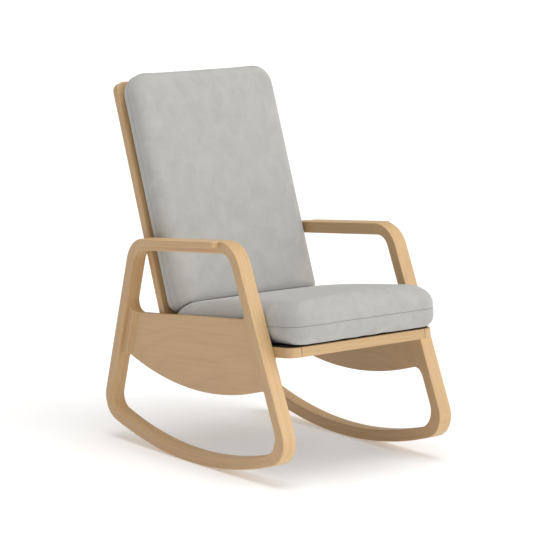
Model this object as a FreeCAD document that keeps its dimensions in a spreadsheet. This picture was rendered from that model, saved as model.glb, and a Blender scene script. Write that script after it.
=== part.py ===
"""Rocking chair with a timber frame and two loose cushions, in millimetres.

Frame: +Z up, the sitter faces -Y, +X is the sitter's left.
Origin: on the floor, at the middle of the chair's plan.
The chair stands on the lowest line of its two curved rockers.
"""
import FreeCAD, Part
import math
import os
import Sketcher

from FreeCAD import Placement, Rotation, Vector

# ---------------------------------------------------------------- driving dimensions
DIMENSIONS = [
    # the two side frames
    ("inner_half", 251.0, "middle plane to the inner face of a side frame"),
    ("member_depth", 44.0, "side frame member, across the chair"),
    ("member_width", 33.0, "side frame member, in its own plane"),
    ("edge_round", 4.5, "rounding along the outer face of a side frame"),
    ("inner_edge_round", 2.5, "rounding along the inner face of a side frame"),
    ("rake", 6.0, "slope of arms, panels and seat, front higher, degrees"),
    ("front_lean", 24.0, "front leg from the vertical, foot forward, degrees"),
    ("rear_lean", 15.65, "rear leg from the vertical, foot backward, degrees"),
    ("arm_offset", 617.5, "origin to the arm's top line"),
    ("front_leg_offset", 446.4, "origin to the front leg's front line"),
    ("rear_leg_offset", 430.9, "origin to the rear leg's rear line"),
    ("rocker_radius", 1190.0, "underside of the rockers"),
    ("round_front_foot", 67.5, "outer radius, front leg into rocker"),
    ("round_rear_foot", 70.0, "outer radius, rear leg into rocker"),
    ("round_rear_arm", 86.0, "outer radius, rear leg into arm"),
    ("round_front_arm", 89.0, "outer radius, front leg into arm"),
    ("bend_front_foot", 52.0, "inner radius at the same corner"),
    ("bend_rear_foot", 39.0, "inner radius at the same corner"),
    ("bend_rear_arm", 45.0, "inner radius at the same corner"),
    ("bend_front_arm", 45.0, "inner radius at the same corner"),
    ("arm_front_joint", -135.0, "glue line between arm rail and front leg"),
    ("arm_rear_joint", 214.0, "glue line between arm rail and rear leg"),
    ("foot_front_joint", 18.4, "glue line between rocker and front leg, degrees"),
    ("foot_rear_joint", 17.4, "glue line between rocker and rear leg, degrees"),
    # side panels
    ("panel_thick", 21.0, "side panel, flush with the inner face"),
    ("panel_top", 404.0, "origin to the panel's top line"),
    ("panel_low", 201.0, "lowest point of the panel above the floor"),
    ("shoulder", 42.0, "width of the shoulder each leg carries"),
    ("ledge", 25.0, "raised part of a shoulder, beside its leg"),
    ("ledge_rise", 11.5, "raised part above the panel"),
    ("ledge_round", 4.0, "rounding along its rim; the rest of the step is a cove"),
    ("shoulder_round", 31.0, "radius of a shoulder into its leg"),
    ("shoulder_round_small", 14.0, "the same at the rear foot"),
    ("panel_ring", 24.0, "added to the panel's underside radius"),
    ("panel_spare", 38.0, "panel stock above its top line"),
    ("window_bite", 0.8, "windows into the legs, so that no knife edge is left"),
    ("margin", 5.0, "working blocks beyond the pieces they cut"),
    # arm pads
    ("pad_reach", 20.5, "arm pad beyond the outer face"),
    ("pad_bite", 6.0, "arm pad let into the arm rail"),
    ("pad_thick", 17.5, "arm pad"),
    ("pad_front", -139.0, "front end, along the arm"),
    ("pad_length", 351.0, "arm pad, along the arm"),
    ("pad_round", 16.0, "plan radius of its ends"),
    ("pad_rim", 3.5, "edge rounding along its outer side"),
    # seat frame, in its own raked axes
    ("seat_front", -401.0, "front edge of the seat frame"),
    ("seat_top", 378.0, "height of that edge"),
    ("seat_length", 540.0, "seat frame, front to back"),
    ("rail_height", 27.5, "seat rails"),
    ("rail_width", 30.0, "seat rails"),
    ("corner_width", 36.5, "corner block, across"),
    ("corner_length", 70.0, "corner block, front to back"),
    ("corner_round", 30.0, "plan radius of the front corners"),
    ("frame_round", 2.5, "edge rounding of the seat and back frames"),
    ("strap_inset", 8.0, "strap ends inside the seat frame's sides"),
    ("strap_margin", 20.0, "first and last strap clear of the end rails"),
    ("deck_inset", 7.0, "deck cloth inside the seat frame's sides"),
    ("deck_setback", 6.0, "deck cloth inside the seat frame's front and rear"),
    ("deck_trim", 3.0, "deck cloth's front corner radius less than the seat frame's"),
    ("back_rail_thick", 18.0, "bottom rail of the back, front to rear"),
    ("window_corner", 20.0, "window corners away from the side panel"),
    ("rocker_spare", 20.0, "zone that parts the rocker from its loop, below the underside"),
    ("rocker_reach", 25.0, "the same zone, above the rocker"),
    ("joint_vee", 0.8, "chamfers that show the seat frame's front joints"),
    ("strap_width", 50.0, "elastic webbing strap"),
    ("strap_thick", 2.0, "elastic webbing strap"),
    ("strap_count", 7.0, "straps across the seat"),
    ("cloth_thick", 1.5, "deck cloth"),
    # back frame, in its own reclined axes
    ("recline", 20.1, "back frame from the vertical, degrees"),
    ("back_foot_y", 143.75, "front plane of the back frame at the next height"),
    ("back_foot_z", 300.0, "height of the back frame's own zero"),
    ("stile_width", 32.0, "stile, across the chair"),
    ("stile_thick", 24.0, "back frame, front to back"),
    ("stile_tail", 20.0, "stile below the back frame's zero"),
    ("back_height", 766.0, "top of the back frame, along the recline"),
    ("back_rail", 60.0, "height of the top and bottom rails"),
    ("back_rail_low", 40.0, "underside of the bottom rail"),
    ("back_round", 26.0, "rounded top corners of the back frame"),
    ("slat_count", 6.0, "slats between the two rails"),
    ("slat_height", 45.0, "slat"),
    ("slat_thick", 12.0, "slat"),
    ("tenon", 12.0, "slat and rail ends let into the stiles"),
    # cushions
    ("cushion_gap", 0.4, "soft parts clear of their neighbours"),
    ("seat_cushion_half", 250.0, "half width of the seat cushion"),
    ("seat_cushion_over", 32.0, "its overhang in front of the seat frame"),
    ("seat_cushion_front", 115.0, "its thickness at the front"),
    ("seat_cushion_rear", 93.0, "its thickness at the rear"),
    ("seat_cushion_round", 44.0, "its edge radius"),
    ("seat_cushion_corner", 65.0, "radius of its front corners, in plan"),
    ("seat_cushion_tail", 46.0, "radius of its rear corners, in plan"),
    ("back_cushion_half", 249.0, "half width of the back cushion"),
    ("back_cushion_thick", 84.0, "back cushion"),
    ("back_cushion_low", 88.0, "its foot, along the recline"),
    ("back_cushion_top", 769.0, "its top, along the recline"),
    ("back_cushion_round", 30.0, "its edge radius"),
    ("back_cushion_corner", 62.0, "radius of its top corners"),
    ("back_cushion_heel", 36.0, "radius of its lower corners"),
    ("cover_thick", 3.0, "sewn cover with its lining"),
    ("room_inset", -0.4, "back cover clear of the seat cushion, as an outward inset"),
    ("lining_inset", -3.4, "back cover's lining clear of it, as an outward inset"),
    ("core_inset", 35.0, "foam core inside the seat cushion's sides"),
    ("core_sink", 24.0, "foam core inside its top and foot"),
    ("core_round", 8.0, "edge radius of the foam core"),
    # zips of the cushion covers
    ("zip_length", 360.0, "zip"),
    ("zip_width", 26.0, "zip tapes, edge to edge"),
    ("tape_thick", 1.2, "zip tape"),
    ("coil_width", 6.0, "closed zip coil"),
    ("coil_thick", 1.6, "closed zip coil, above the tape"),
    ("slider_length", 12.0, "zip slider"),
    ("slider_width", 10.0, "zip slider"),
    ("slider_thick", 3.6, "zip slider"),
    ("pull_length", 24.0, "pull tab"),
    ("pull_width", 7.0, "pull tab"),
    ("pull_thick", 1.6, "pull tab"),
    ("pull_lap", 2.0, "pull tab over its slider's middle"),
    ("zip_drop", 8.0, "seat cushion's zip below the middle of its rear face"),
    # fasteners
    ("dowel_size", 8.0, "beech dowel, diameter"),
    ("dowel_length", 40.0, "beech dowel"),
    ("bolt_size", 6.0, "machine bolt, diameter"),
    ("head_size", 12.0, "bolt head, diameter"),
    ("head_thick", 3.5, "bolt head"),
    ("insert_size", 10.0, "threaded insert, diameter"),
    ("insert_length", 15.0, "threaded insert"),
]

doc = FreeCAD.newDocument("rocking_chair")
sheet = doc.addObject("Spreadsheet::Sheet", "dims")
for row, (alias, value, meaning) in enumerate(DIMENSIONS, start=1):
    sheet.set("A%d" % row, alias.replace("_", " "))
    sheet.set("B%d" % row, str(value))
    sheet.set("C%d" % row, meaning)
    sheet.setAlias("B%d" % row, alias)
doc.recompute()


def dim(alias):
    """One driving dimension, read back from the sheet."""
    return float(getattr(sheet, alias))


def unit(degrees):
    return Vector(math.cos(math.radians(degrees)), math.sin(math.radians(degrees)), 0)


# ---------------------------------------------------------------- axes of the raked groups
def tilted(y, z, degrees):
    """A group whose own Y runs backward and downward at the given slope."""
    return Placement(Vector(0, y, z), Rotation(Vector(1, 0, 0), -degrees))


SEAT = tilted(dim("seat_front"), dim("seat_top"), dim("rake"))
BACK = tilted(dim("back_foot_y"), dim("back_foot_z"), dim("recline"))
ARM_TOP = tilted(0, dim("arm_offset") / math.cos(math.radians(dim("rake"))), dim("rake"))
HUB = Vector(0, dim("rocker_radius"), 0)


# ---------------------------------------------------------------- sketch and body helpers
def bind(thing, path, expression):
    thing.setExpression(path, expression)


def origin_plane(body, role):
    return [part for part in body.Origin.OriginFeatures if part.Role == role][0]


def new_body(name, placement=None):
    body = doc.addObject("PartDesign::Body", name)
    body.Label = name
    if placement is not None:
        body.Placement = placement
    return body


def new_sketch(body, name, role, lift=None):
    """A sketch on one of the body's own origin planes, lifted by an expression."""
    sketch = body.newObject("Sketcher::SketchObject", name)
    sketch.AttachmentSupport = [(origin_plane(body, role), "")]
    sketch.MapMode = "FlatFace"
    if lift is not None:
        bind(sketch, ".AttachmentOffset.Base.z", lift)
    return sketch


def datum(sketch, name, constraint, expression):
    index = sketch.addConstraint(constraint)
    sketch.renameConstraint(index, name)
    bind(sketch, "Constraints." + name, expression)


def rectangle(sketch, left, low, width, height):
    """A rectangle from four expressions: its low left corner, then its size."""
    start = (sheet_value(left), sheet_value(low))
    size = (sheet_value(width), sheet_value(height))
    corners = [(0, 0), (1, 0), (1, 1), (0, 1)]
    points = [Vector(start[0] + a * size[0], start[1] + b * size[1], 0) for a, b in corners]
    for index in range(4):
        sketch.addGeometry(Part.LineSegment(points[index], points[(index + 1) % 4]), False)
    for index in range(4):
        sketch.addConstraint(Sketcher.Constraint("Coincident", index, 2, (index + 1) % 4, 1))
    for index in (0, 2):
        sketch.addConstraint(Sketcher.Constraint("Horizontal", index))
        sketch.addConstraint(Sketcher.Constraint("Vertical", index + 1))
    datum(sketch, "wide", Sketcher.Constraint("DistanceX", 0, 1, 0, 2, size[0]), width)
    datum(sketch, "high", Sketcher.Constraint("DistanceY", 1, 1, 1, 2, size[1]), height)
    datum(sketch, "left", Sketcher.Constraint("DistanceX", -1, 1, 0, 1, start[0]), left)
    datum(sketch, "low", Sketcher.Constraint("DistanceY", -1, 1, 0, 1, start[1]), low)


def sheet_value(expression):
    """The number an expression over the sheet gives now."""
    plain = expression.replace("dims.", "")
    names = sorted((alias for alias, _, _ in DIMENSIONS if alias in plain), key=len, reverse=True)
    total = 0.0
    for term in plain.replace("-", "+-").split("+"):
        term = term.strip()
        if term == "":
            continue
        product = 1.0
        for factor in term.split("*"):
            factor = factor.strip()
            sign = 1.0
            if factor.startswith("-"):
                sign = -1.0
                factor = factor[1:].strip()
            product = product * sign * (dim(factor) if factor in names else float(factor))
        total = total + product
    return total


def pad(body, sketch, length):
    feature = body.newObject("PartDesign::Pad", body.Name + "_pad")
    feature.Profile = sketch
    bind(feature, "Length", length)
    body.Tip = feature
    return feature


def slab(name, placement, box):
    """A body padded from a rectangle: box is six expressions, three starts and three sizes."""
    body = new_body(name, placement)
    left, front, low, width, length, height = box
    sketch = new_sketch(body, name + "_plan", "XY_Plane", low)
    rectangle(sketch, left, front, width, length)
    pad(body, sketch, height)
    return body


def work_edges(body, kind, wanted, suffix):
    """A fillet or chamfer on every edge that the test wants, in the body's own axes."""
    doc.recompute()
    base = body.Tip
    names = []
    for index, edge in enumerate(base.Shape.Edges, start=1):
        if wanted(edge):
            names.append("Edge%d" % index)
    feature = body.newObject("PartDesign::" + kind, body.Name + "_" + suffix)
    feature.Base = (base, names)
    body.Tip = feature
    return feature


def round_edges(body, radius, wanted, suffix="round"):
    bind(work_edges(body, "Fillet", wanted, suffix), "Radius", radius)


def bevel_edges(body, size, wanted, suffix="bevel"):
    bind(work_edges(body, "Chamfer", wanted, suffix), "Size", size)


def in_plane(edge, axis, value):
    """Does the whole edge lie in the plane where one coordinate has this value?"""
    box = edge.BoundBox
    low = getattr(box, axis + "Min")
    high = getattr(box, axis + "Max")
    return abs(low - value) < 0.01 and abs(high - value) < 0.01


# ---------------------------------------------------------------- rounded side outlines
class Side:
    """One side of a closed outline: a straight line or an arc about the rocker centre.

    facing is the way out of the outline. An arc's outline lies inside or outside its circle.
    """

    def __init__(self, kind, size, facing=0.0, slope=""):
        self.kind = kind
        self.size = size
        self.facing = facing
        self.slope = slope

    def number(self):
        return sheet_value(self.size)

    def level(self, radius):
        """Offset or circle radius on which a corner's centre lies."""
        if self.kind == "line":
            return self.number() - radius
        if self.kind == "inside":
            return self.number() - radius
        return self.number() + radius

    def out(self, centre):
        """Direction from a corner's centre to where it touches this side, in degrees."""
        if self.kind == "line":
            return self.facing
        way = centre - HUB
        if self.kind == "outside":
            way = HUB - centre
        return math.degrees(math.atan2(way.y, way.x)) % 360


def corner_centre(first, second, radius, toward):
    """Centre of the round between two sides, on the wanted side of the chair."""
    if first.kind == "line" and second.kind == "line":
        one, two = unit(first.facing), unit(second.facing)
        a, b = first.level(radius), second.level(radius)
        det = one.x * two.y - one.y * two.x
        return Vector((a * two.y - b * one.y) / det, (b * one.x - a * two.x) / det, 0)
    line, arc = (first, second) if first.kind == "line" else (second, first)
    normal = unit(line.facing)
    along = Vector(-normal.y, normal.x, 0)
    foot = normal * line.level(radius)
    gap = foot - HUB
    half = along.dot(gap)
    rest = gap.dot(gap) - arc.level(radius) ** 2
    root = math.sqrt(half * half - rest)
    answers = [foot + along * (-half + root), foot + along * (-half - root)]
    return min(answers, key=lambda point: (point - toward).Length)


def outline(sketch, sides, radii):
    """Draw and constrain a closed outline of four sides with four rounded corners.

    sides run anticlockwise from the bottom; radii[i] rounds side i into side i + 1.
    """
    count = len(sides)
    guess = [Vector(400, 150, 0), Vector(300, 450, 0), Vector(-300, 450, 0), Vector(-400, 150, 0)]
    centres = []
    for index in range(count):
        follower = sides[(index + 1) % count]
        size = sheet_value(radii[index])
        centres.append(corner_centre(sides[index], follower, size, guess[index]))
    ends = []
    for index, side in enumerate(sides):
        before = centres[index - 1] + unit(side.out(centres[index - 1])) * sheet_value(radii[index - 1])
        after = centres[index] + unit(side.out(centres[index])) * sheet_value(radii[index])
        ends.append((before, after))
    entry = {}
    leave = {}
    for index, side in enumerate(sides):
        before, after = ends[index]
        if side.kind == "line":
            heading = (side.facing + 90) % 360
            flipped = heading >= 180
            start, stop = (after, before) if flipped else (before, after)
            geometry = sketch.addGeometry(Part.LineSegment(start, stop), False)
        else:
            flipped = side.kind == "outside"
            start, stop = (after, before) if flipped else (before, after)
            low = math.atan2(start.y - HUB.y, start.x - HUB.x)
            high = math.atan2(stop.y - HUB.y, stop.x - HUB.x)
            circle = Part.Circle(HUB, Vector(0, 0, 1), side.number())
            geometry = sketch.addGeometry(Part.ArcOfCircle(circle, low, high), False)
        entry[index] = (geometry, 2 if flipped else 1)
        leave[index] = (geometry, 1 if flipped else 2)
    for index in range(count):
        follower = (index + 1) % count
        size = sheet_value(radii[index])
        low = math.radians(sides[index].out(centres[index]))
        high = math.radians(sides[follower].out(centres[index]))
        if high < low:
            high = high + 2 * math.pi
        circle = Part.Circle(centres[index], Vector(0, 0, 1), size)
        corner = sketch.addGeometry(Part.ArcOfCircle(circle, low, high), False)
        one, one_end = leave[index]
        two, two_end = entry[follower]
        sketch.addConstraint(Sketcher.Constraint("Tangent", one, one_end, corner, 1))
        sketch.addConstraint(Sketcher.Constraint("Tangent", corner, 2, two, two_end))
        datum(sketch, "corner%d" % index, Sketcher.Constraint("Radius", corner, size), radii[index])
    for index, side in enumerate(sides):
        geometry = entry[index][0]
        name = "side%d" % index
        if side.kind == "line":
            heading = (side.facing + 90) % 180
            turn = Sketcher.Constraint("Angle", geometry, math.radians(heading))
            datum(sketch, name + "_slope", turn, "(" + side.slope + ") * 1 deg")
            size = abs(side.number())
            reach = Sketcher.Constraint("Distance", -1, 1, geometry, size)
            sign = "" if side.number() > 0 else "-1 * "
            datum(sketch, name, reach, sign + "(" + side.size + ")")
        else:
            sketch.addConstraint(Sketcher.Constraint("PointOnObject", geometry, 3, -2))
            rise = Sketcher.Constraint("DistanceY", -1, 1, geometry, 3, HUB.y)
            datum(sketch, name + "_centre", rise, "dims.rocker_radius")
            ring = Sketcher.Constraint("Radius", geometry, side.number())
            datum(sketch, name, ring, side.size)


FRONT_FACING = 180 - dim("front_lean")
REAR_FACING = dim("rear_lean")
ARM_FACING = 90 - dim("rake")
FRONT_SLOPE = "90 - dims.front_lean"
REAR_SLOPE = "90 + dims.rear_lean"
ARM_SLOPE = "180 - dims.rake"


def loop_sides(inset):
    """The four sides of a side frame, moved in by an expression."""
    less = "" if inset == "" else " - " + inset
    return [
        Side("inside", "dims.rocker_radius" + less),
        Side("line", "dims.rear_leg_offset" + less, REAR_FACING, REAR_SLOPE),
        Side("line", "dims.arm_offset" + less, ARM_FACING, ARM_SLOPE),
        Side("line", "dims.front_leg_offset" + less, FRONT_FACING, FRONT_SLOPE),
    ]


# ---------------------------------------------------------------- the side frame blank, +X side
loop = new_body("side_loop_blank")
outer = new_sketch(loop, "loop_outer", "YZ_Plane", "dims.inner_half")
outline(outer, loop_sides(""), ["dims.round_rear_foot", "dims.round_rear_arm",
                                "dims.round_front_arm", "dims.round_front_foot"])
pad(loop, outer, "dims.member_depth")
doc.recompute()
full_volume = loop.Shape.Volume
inner = new_sketch(loop, "loop_inner", "YZ_Plane", "dims.inner_half")
outline(inner, loop_sides("dims.member_width"), ["dims.bend_rear_foot", "dims.bend_rear_arm",
                                                 "dims.bend_front_arm", "dims.bend_front_foot"])
window = loop.newObject("PartDesign::Pocket", "loop_window")
window.Profile = inner
window.Type = "ThroughAll"
window.Reversed = True
loop.Tip = window
doc.recompute()
if loop.Shape.Volume > 0.5 * full_volume:
    raise RuntimeError("the loop window did not cut the blank")

inner_face = dim("inner_half")
outer_face = inner_face + dim("member_depth")
round_edges(loop, "dims.edge_round", lambda edge: in_plane(edge, "X", outer_face))
round_edges(loop, "dims.inner_edge_round", lambda edge: in_plane(edge, "X", inner_face), "ease")

# The panel band runs from leg to leg; the two windows shape its shoulders.
BITE = "dims.window_bite"


def band_sides():
    return [
        Side("inside", "dims.rocker_radius - dims.panel_low + dims.panel_ring"),
        Side("line", "dims.rear_leg_offset - 0.5 * dims.member_width", REAR_FACING, REAR_SLOPE),
        Side("line", "dims.panel_top + dims.panel_spare", ARM_FACING, ARM_SLOPE),
        Side("line", "dims.front_leg_offset - 0.5 * dims.member_width", FRONT_FACING, FRONT_SLOPE),
    ]


panel_band = new_body("panel_band_blank")
band = new_sketch(panel_band, "band_outline", "YZ_Plane", "dims.inner_half")
outline(band, band_sides(), ["3", "3", "3", "3"])
pad(panel_band, band, "dims.panel_thick")
doc.recompute()


SLICE = "dims.member_depth + 2 * dims.margin"


def window_body(name, sides, radii):
    body = new_body(name)
    sketch = new_sketch(body, name + "_outline", "YZ_Plane", "dims.inner_half - dims.margin")
    outline(sketch, sides, radii)
    pad(body, sketch, SLICE)
    return body


upper_window = window_body("upper_window", [
    Side("line", "-1 * dims.panel_top", ARM_FACING + 180, ARM_SLOPE),
    Side("line", "dims.rear_leg_offset - dims.member_width + " + BITE, REAR_FACING, REAR_SLOPE),
    Side("line", "dims.arm_offset", ARM_FACING, ARM_SLOPE),
    Side("line", "dims.front_leg_offset - dims.member_width + " + BITE, FRONT_FACING, FRONT_SLOPE),
], ["dims.shoulder_round", "dims.window_corner", "dims.window_corner", "dims.shoulder_round"])
lower_window = window_body("lower_window", [
    Side("inside", "dims.rocker_radius"),
    Side("line", "dims.rear_leg_offset - dims.member_width + " + BITE, REAR_FACING, REAR_SLOPE),
    Side("outside", "dims.rocker_radius - dims.panel_low"),
    Side("line", "dims.front_leg_offset - dims.member_width + " + BITE, FRONT_FACING, FRONT_SLOPE),
], ["dims.window_corner", "dims.shoulder_round_small", "dims.shoulder_round",
    "dims.window_corner"])
doc.recompute()

# ---------------------------------------------------------------- boolean helpers
def boolean(kind, name, **links):
    feature = doc.addObject("Part::" + kind, name)
    feature.Label = name
    for key, value in links.items():
        setattr(feature, key, value)
    return feature


def cut(name, base, tool):
    return boolean("Cut", name, Base=base, Tool=tool)


def common(name, base, tool):
    return boolean("Common", name, Base=base, Tool=tool)


def fuse(name, base, tool):
    return boolean("Fuse", name, Base=base, Tool=tool)


def cluster(name, members):
    return boolean("Compound", name, Links=members)


def mirrored(name, source):
    """The same piece on the sitter's right."""
    feature = doc.addObject("Part::Mirroring", name)
    feature.Label = name
    feature.Source = source
    feature.Normal = Vector(1, 0, 0)
    feature.Base = Vector(0, 0, 0)
    return feature


def block(name, placement, length, width, height):
    """A plain box from three expressions."""
    feature = doc.addObject("Part::Box", name)
    bind(feature, "Length", length)
    bind(feature, "Width", width)
    bind(feature, "Height", height)
    feature.Placement = placement
    return feature


def rod(name, base, direction, radius, height):
    """A cylinder from two expressions, its start and its direction."""
    feature = doc.addObject("Part::Cylinder", name)
    bind(feature, "Radius", radius)
    bind(feature, "Height", height)
    feature.Placement = Placement(base, Rotation(Vector(0, 0, 1), direction))
    return feature


def along(placement, x, y, z):
    """A point given in a group's own axes."""
    return placement.multVec(Vector(x, y, z))


# ---------------------------------------------------------------- glue lines of a side frame
MARGIN = dim("margin")
REACH = 40.0
arm_span = (dim("arm_front_joint") / math.cos(math.radians(dim("rake"))),
            dim("arm_rear_joint") / math.cos(math.radians(dim("rake"))))
arm_start = along(ARM_TOP, inner_face - MARGIN, arm_span[0], -dim("member_width") - REACH)
arm_zone = block("arm_zone", Placement(arm_start, ARM_TOP.Rotation), SLICE,
                 "(dims.arm_rear_joint - dims.arm_front_joint) / cos(dims.rake * 1 deg)",
                 "dims.member_width + %g" % (2 * REACH))

# A ring sector about the rocker centre holds the rocker between its two glue lines.
hub_point = Vector(inner_face - MARGIN, 0, dim("rocker_radius"))
sector_turn = Rotation(Vector(0, 0, 1), Vector(1, 0, 0))
sector_start = Rotation(Vector(1, 0, 0), -90 - dim("foot_front_joint"))


def sector(name, radius):
    feature = doc.addObject("Part::Cylinder", name)
    bind(feature, "Radius", radius)
    bind(feature, "Height", SLICE)
    bind(feature, "Angle", "(dims.foot_front_joint + dims.foot_rear_joint) * 1 deg")
    axes = Rotation(Vector(0, 1, 0), Vector(0, 0, 1), Vector(1, 0, 0), "ZXY")
    feature.Placement = Placement(hub_point, sector_start.multiply(axes))
    return feature


rocker_zone = cut("rocker_zone", sector("sector_outer", "dims.rocker_radius + dims.rocker_spare"),
                  sector("sector_inner", "dims.rocker_radius - dims.member_width - dims.rocker_reach"))

GREAT = "2000"
front_side = block("front_side", Placement(Vector(inner_face - MARGIN, -2000, -100), Rotation()),
                   SLICE, GREAT, GREAT)
rear_side = block("rear_side", Placement(Vector(inner_face - MARGIN, 0, -100), Rotation()),
                  SLICE, GREAT, GREAT)


def leg_plane(facing, offset):
    """Axes on a leg's inner line: own Y points into the leg, own Z runs along it."""
    normal = unit(facing)
    point = Vector(inner_face - MARGIN, normal.x * offset, normal.y * offset)
    return Placement(point, Rotation(Vector(1, 0, 0), facing))


front_line = leg_plane(FRONT_FACING, dim("front_leg_offset") - dim("member_width") - dim("shoulder"))
rear_line = leg_plane(REAR_FACING, dim("rear_leg_offset") - dim("member_width") - dim("shoulder"))


def beyond(name, axes):
    """Everything on the leg's side of its shoulder glue line."""
    feature = block(name, Placement(), SLICE, "200", GREAT)
    feature.Placement = axes.multiply(Placement(Vector(0, 0, -1000), Rotation()))
    return feature


front_shoulder_zone = beyond("front_shoulder_zone", front_line)
rear_shoulder_zone = beyond("rear_shoulder_zone", rear_line)

panel_plate = cut("panel_plate", cut("panel_open", panel_band, upper_window), lower_window)


def ledge_bar(name, axes):
    """The raised part of a shoulder: flat beside the leg, then a round rim and a cove."""
    body = new_body(name, axes)
    sketch = new_sketch(body, name + "_section", "XY_Plane", "-1000")
    ledge_section(sketch)
    pad(body, sketch, GREAT)
    return body


def ledge_section(sketch):
    """Own Y points into the leg, own X out of the panel. The foot is sunk into the panel."""
    face = MARGIN + dim("panel_thick")
    top = face + dim("ledge_rise")
    sunk = face - 0.5 * dim("panel_thick")
    rim = dim("ledge_round")
    cove = dim("ledge_rise") - rim
    edge = dim("shoulder") - dim("ledge")
    deep = dim("shoulder") + 0.5 * dim("member_width")
    corners = [
        Vector(face, edge - cove, 0),
        Vector(sunk, edge - cove, 0),
        Vector(sunk, deep, 0),
        Vector(top, deep, 0),
        Vector(top, edge + rim, 0),
    ]
    for start, stop in zip(corners, corners[1:]):
        sketch.addGeometry(Part.LineSegment(start, stop), False)
    quarter = 0.5 * math.pi
    outward = Part.Circle(Vector(top - rim, edge + rim, 0), Vector(0, 0, 1), rim)
    inward = Part.Circle(Vector(top - rim, edge - cove, 0), Vector(0, 0, 1), cove)
    foot, back, root, front = range(4)
    round_rim = sketch.addGeometry(Part.ArcOfCircle(outward, -quarter, 0), False)
    round_cove = sketch.addGeometry(Part.ArcOfCircle(inward, quarter, 2 * quarter), False)
    for one in (foot, back, root):
        sketch.addConstraint(Sketcher.Constraint("Coincident", one, 2, one + 1, 1))
    sketch.addConstraint(Sketcher.Constraint("Tangent", front, 2, round_rim, 2))
    sketch.addConstraint(Sketcher.Constraint("Tangent", round_rim, 1, round_cove, 1))
    sketch.addConstraint(Sketcher.Constraint("Perpendicular", round_cove, 2, foot, 1))
    for one in (foot, root):
        sketch.addConstraint(Sketcher.Constraint("Horizontal", one))
        sketch.addConstraint(Sketcher.Constraint("Vertical", one + 1))
    datum(sketch, "rim", Sketcher.Constraint("Radius", round_rim, rim), "dims.ledge_round")
    datum(sketch, "cove", Sketcher.Constraint("Radius", round_cove, cove),
          "dims.ledge_rise - dims.ledge_round")
    datum(sketch, "face", Sketcher.Constraint("DistanceX", -1, 1, foot, 1, face),
          "dims.margin + dims.panel_thick")
    datum(sketch, "sunk", Sketcher.Constraint("DistanceX", -1, 1, foot, 2, sunk),
          "dims.margin + 0.5 * dims.panel_thick")
    datum(sketch, "top", Sketcher.Constraint("DistanceX", -1, 1, root, 2, top),
          "dims.margin + dims.panel_thick + dims.ledge_rise")
    datum(sketch, "deep", Sketcher.Constraint("DistanceY", -1, 1, root, 1, deep),
          "dims.shoulder + 0.5 * dims.member_width")
    datum(sketch, "shelf", Sketcher.Constraint("DistanceY", -1, 1, front, 2, edge + rim),
          "dims.shoulder - dims.ledge + dims.ledge_round")


shoulder_band = new_body("shoulder_band_blank")
shoulder_sketch = new_sketch(shoulder_band, "shoulder_band_outline", "YZ_Plane", "dims.inner_half")
outline(shoulder_sketch, band_sides(), ["3", "3", "3", "3"])
pad(shoulder_band, shoulder_sketch, "dims.panel_thick + dims.ledge_rise")
doc.recompute()
shoulder_plate = cut("shoulder_plate", cut("shoulder_open", shoulder_band, upper_window),
                     lower_window)
front_ledge = common("front_ledge", shoulder_plate, ledge_bar("front_ledge_bar", front_line))
rear_ledge = common("rear_ledge", shoulder_plate, ledge_bar("rear_ledge_bar", rear_line))
arm_stock = common("arm_stock", loop, arm_zone)
rocker_stock = common("rocker_stock", loop, rocker_zone)
legs_stock = cut("legs_stock", cut("loop_below_arm", loop, arm_zone), rocker_zone)
front_shoulder = fuse("front_shoulder", common("front_web", panel_plate, front_shoulder_zone),
                      front_ledge)
rear_shoulder = fuse("rear_shoulder", common("rear_web", panel_plate, rear_shoulder_zone), rear_ledge)
front_leg_stock = fuse("front_leg_stock", common("front_upright", legs_stock, front_side),
                       front_shoulder)
rear_leg_stock = fuse("rear_leg_stock", common("rear_upright", legs_stock, rear_side),
                      rear_shoulder)
panel_stock = cut("panel_stock", cut("panel_behind", panel_plate, front_shoulder_zone),
                  rear_shoulder_zone)

# ---------------------------------------------------------------- dowels across the glue lines
DOWEL_SPREAD = 10.0
mid_depth = inner_face + 0.5 * dim("member_depth")
mid_rocker = dim("rocker_radius") - 0.5 * dim("member_width")
half_arm = -0.5 * dim("member_width")


def rocker_joint(degrees):
    """A point in the middle of the rocker and the way along it, at an angle from its lowest line."""
    turn = math.radians(degrees)
    point = Vector(mid_depth, mid_rocker * math.sin(turn), HUB.y - mid_rocker * math.cos(turn))
    return point, Vector(0, math.cos(turn), math.sin(turn))


arm_way = ARM_TOP.Rotation.multVec(Vector(0, 1, 0))
joints = [
    (along(ARM_TOP, mid_depth, arm_span[0], half_arm), arm_way),
    (along(ARM_TOP, mid_depth, arm_span[1], half_arm), arm_way),
    rocker_joint(-dim("foot_front_joint")),
    rocker_joint(dim("foot_rear_joint")),
]
dowels = []
for number, (point, way) in enumerate(joints, start=1):
    for side in (-1, 1):
        start = point + Vector(side * DOWEL_SPREAD, 0, 0) - way * (0.5 * dim("dowel_length"))
        name = "dowel_%d_%s" % (number, "in" if side < 0 else "out")
        dowels.append(rod(name, start, way, "0.5 * dims.dowel_size", "dims.dowel_length"))
left_dowels = cluster("left_frame_dowels", dowels)

# ---------------------------------------------------------------- bolts and threaded inserts
BOLT_STOPS = [185.0, 320.0, 455.0]
STILE_BOLTS = [28.0, 294.0]
across = Vector(1, 0, 0)
rail_bore = inner_face - dim("rail_width")
stile_bore = inner_face - dim("stile_width")
seat_bolt_points = [along(SEAT, rail_bore, stop, -0.5 * dim("rail_height")) for stop in BOLT_STOPS]
stile_bolt_points = [along(BACK, stile_bore, 0.5 * dim("stile_thick"), up) for up in STILE_BOLTS]

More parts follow.
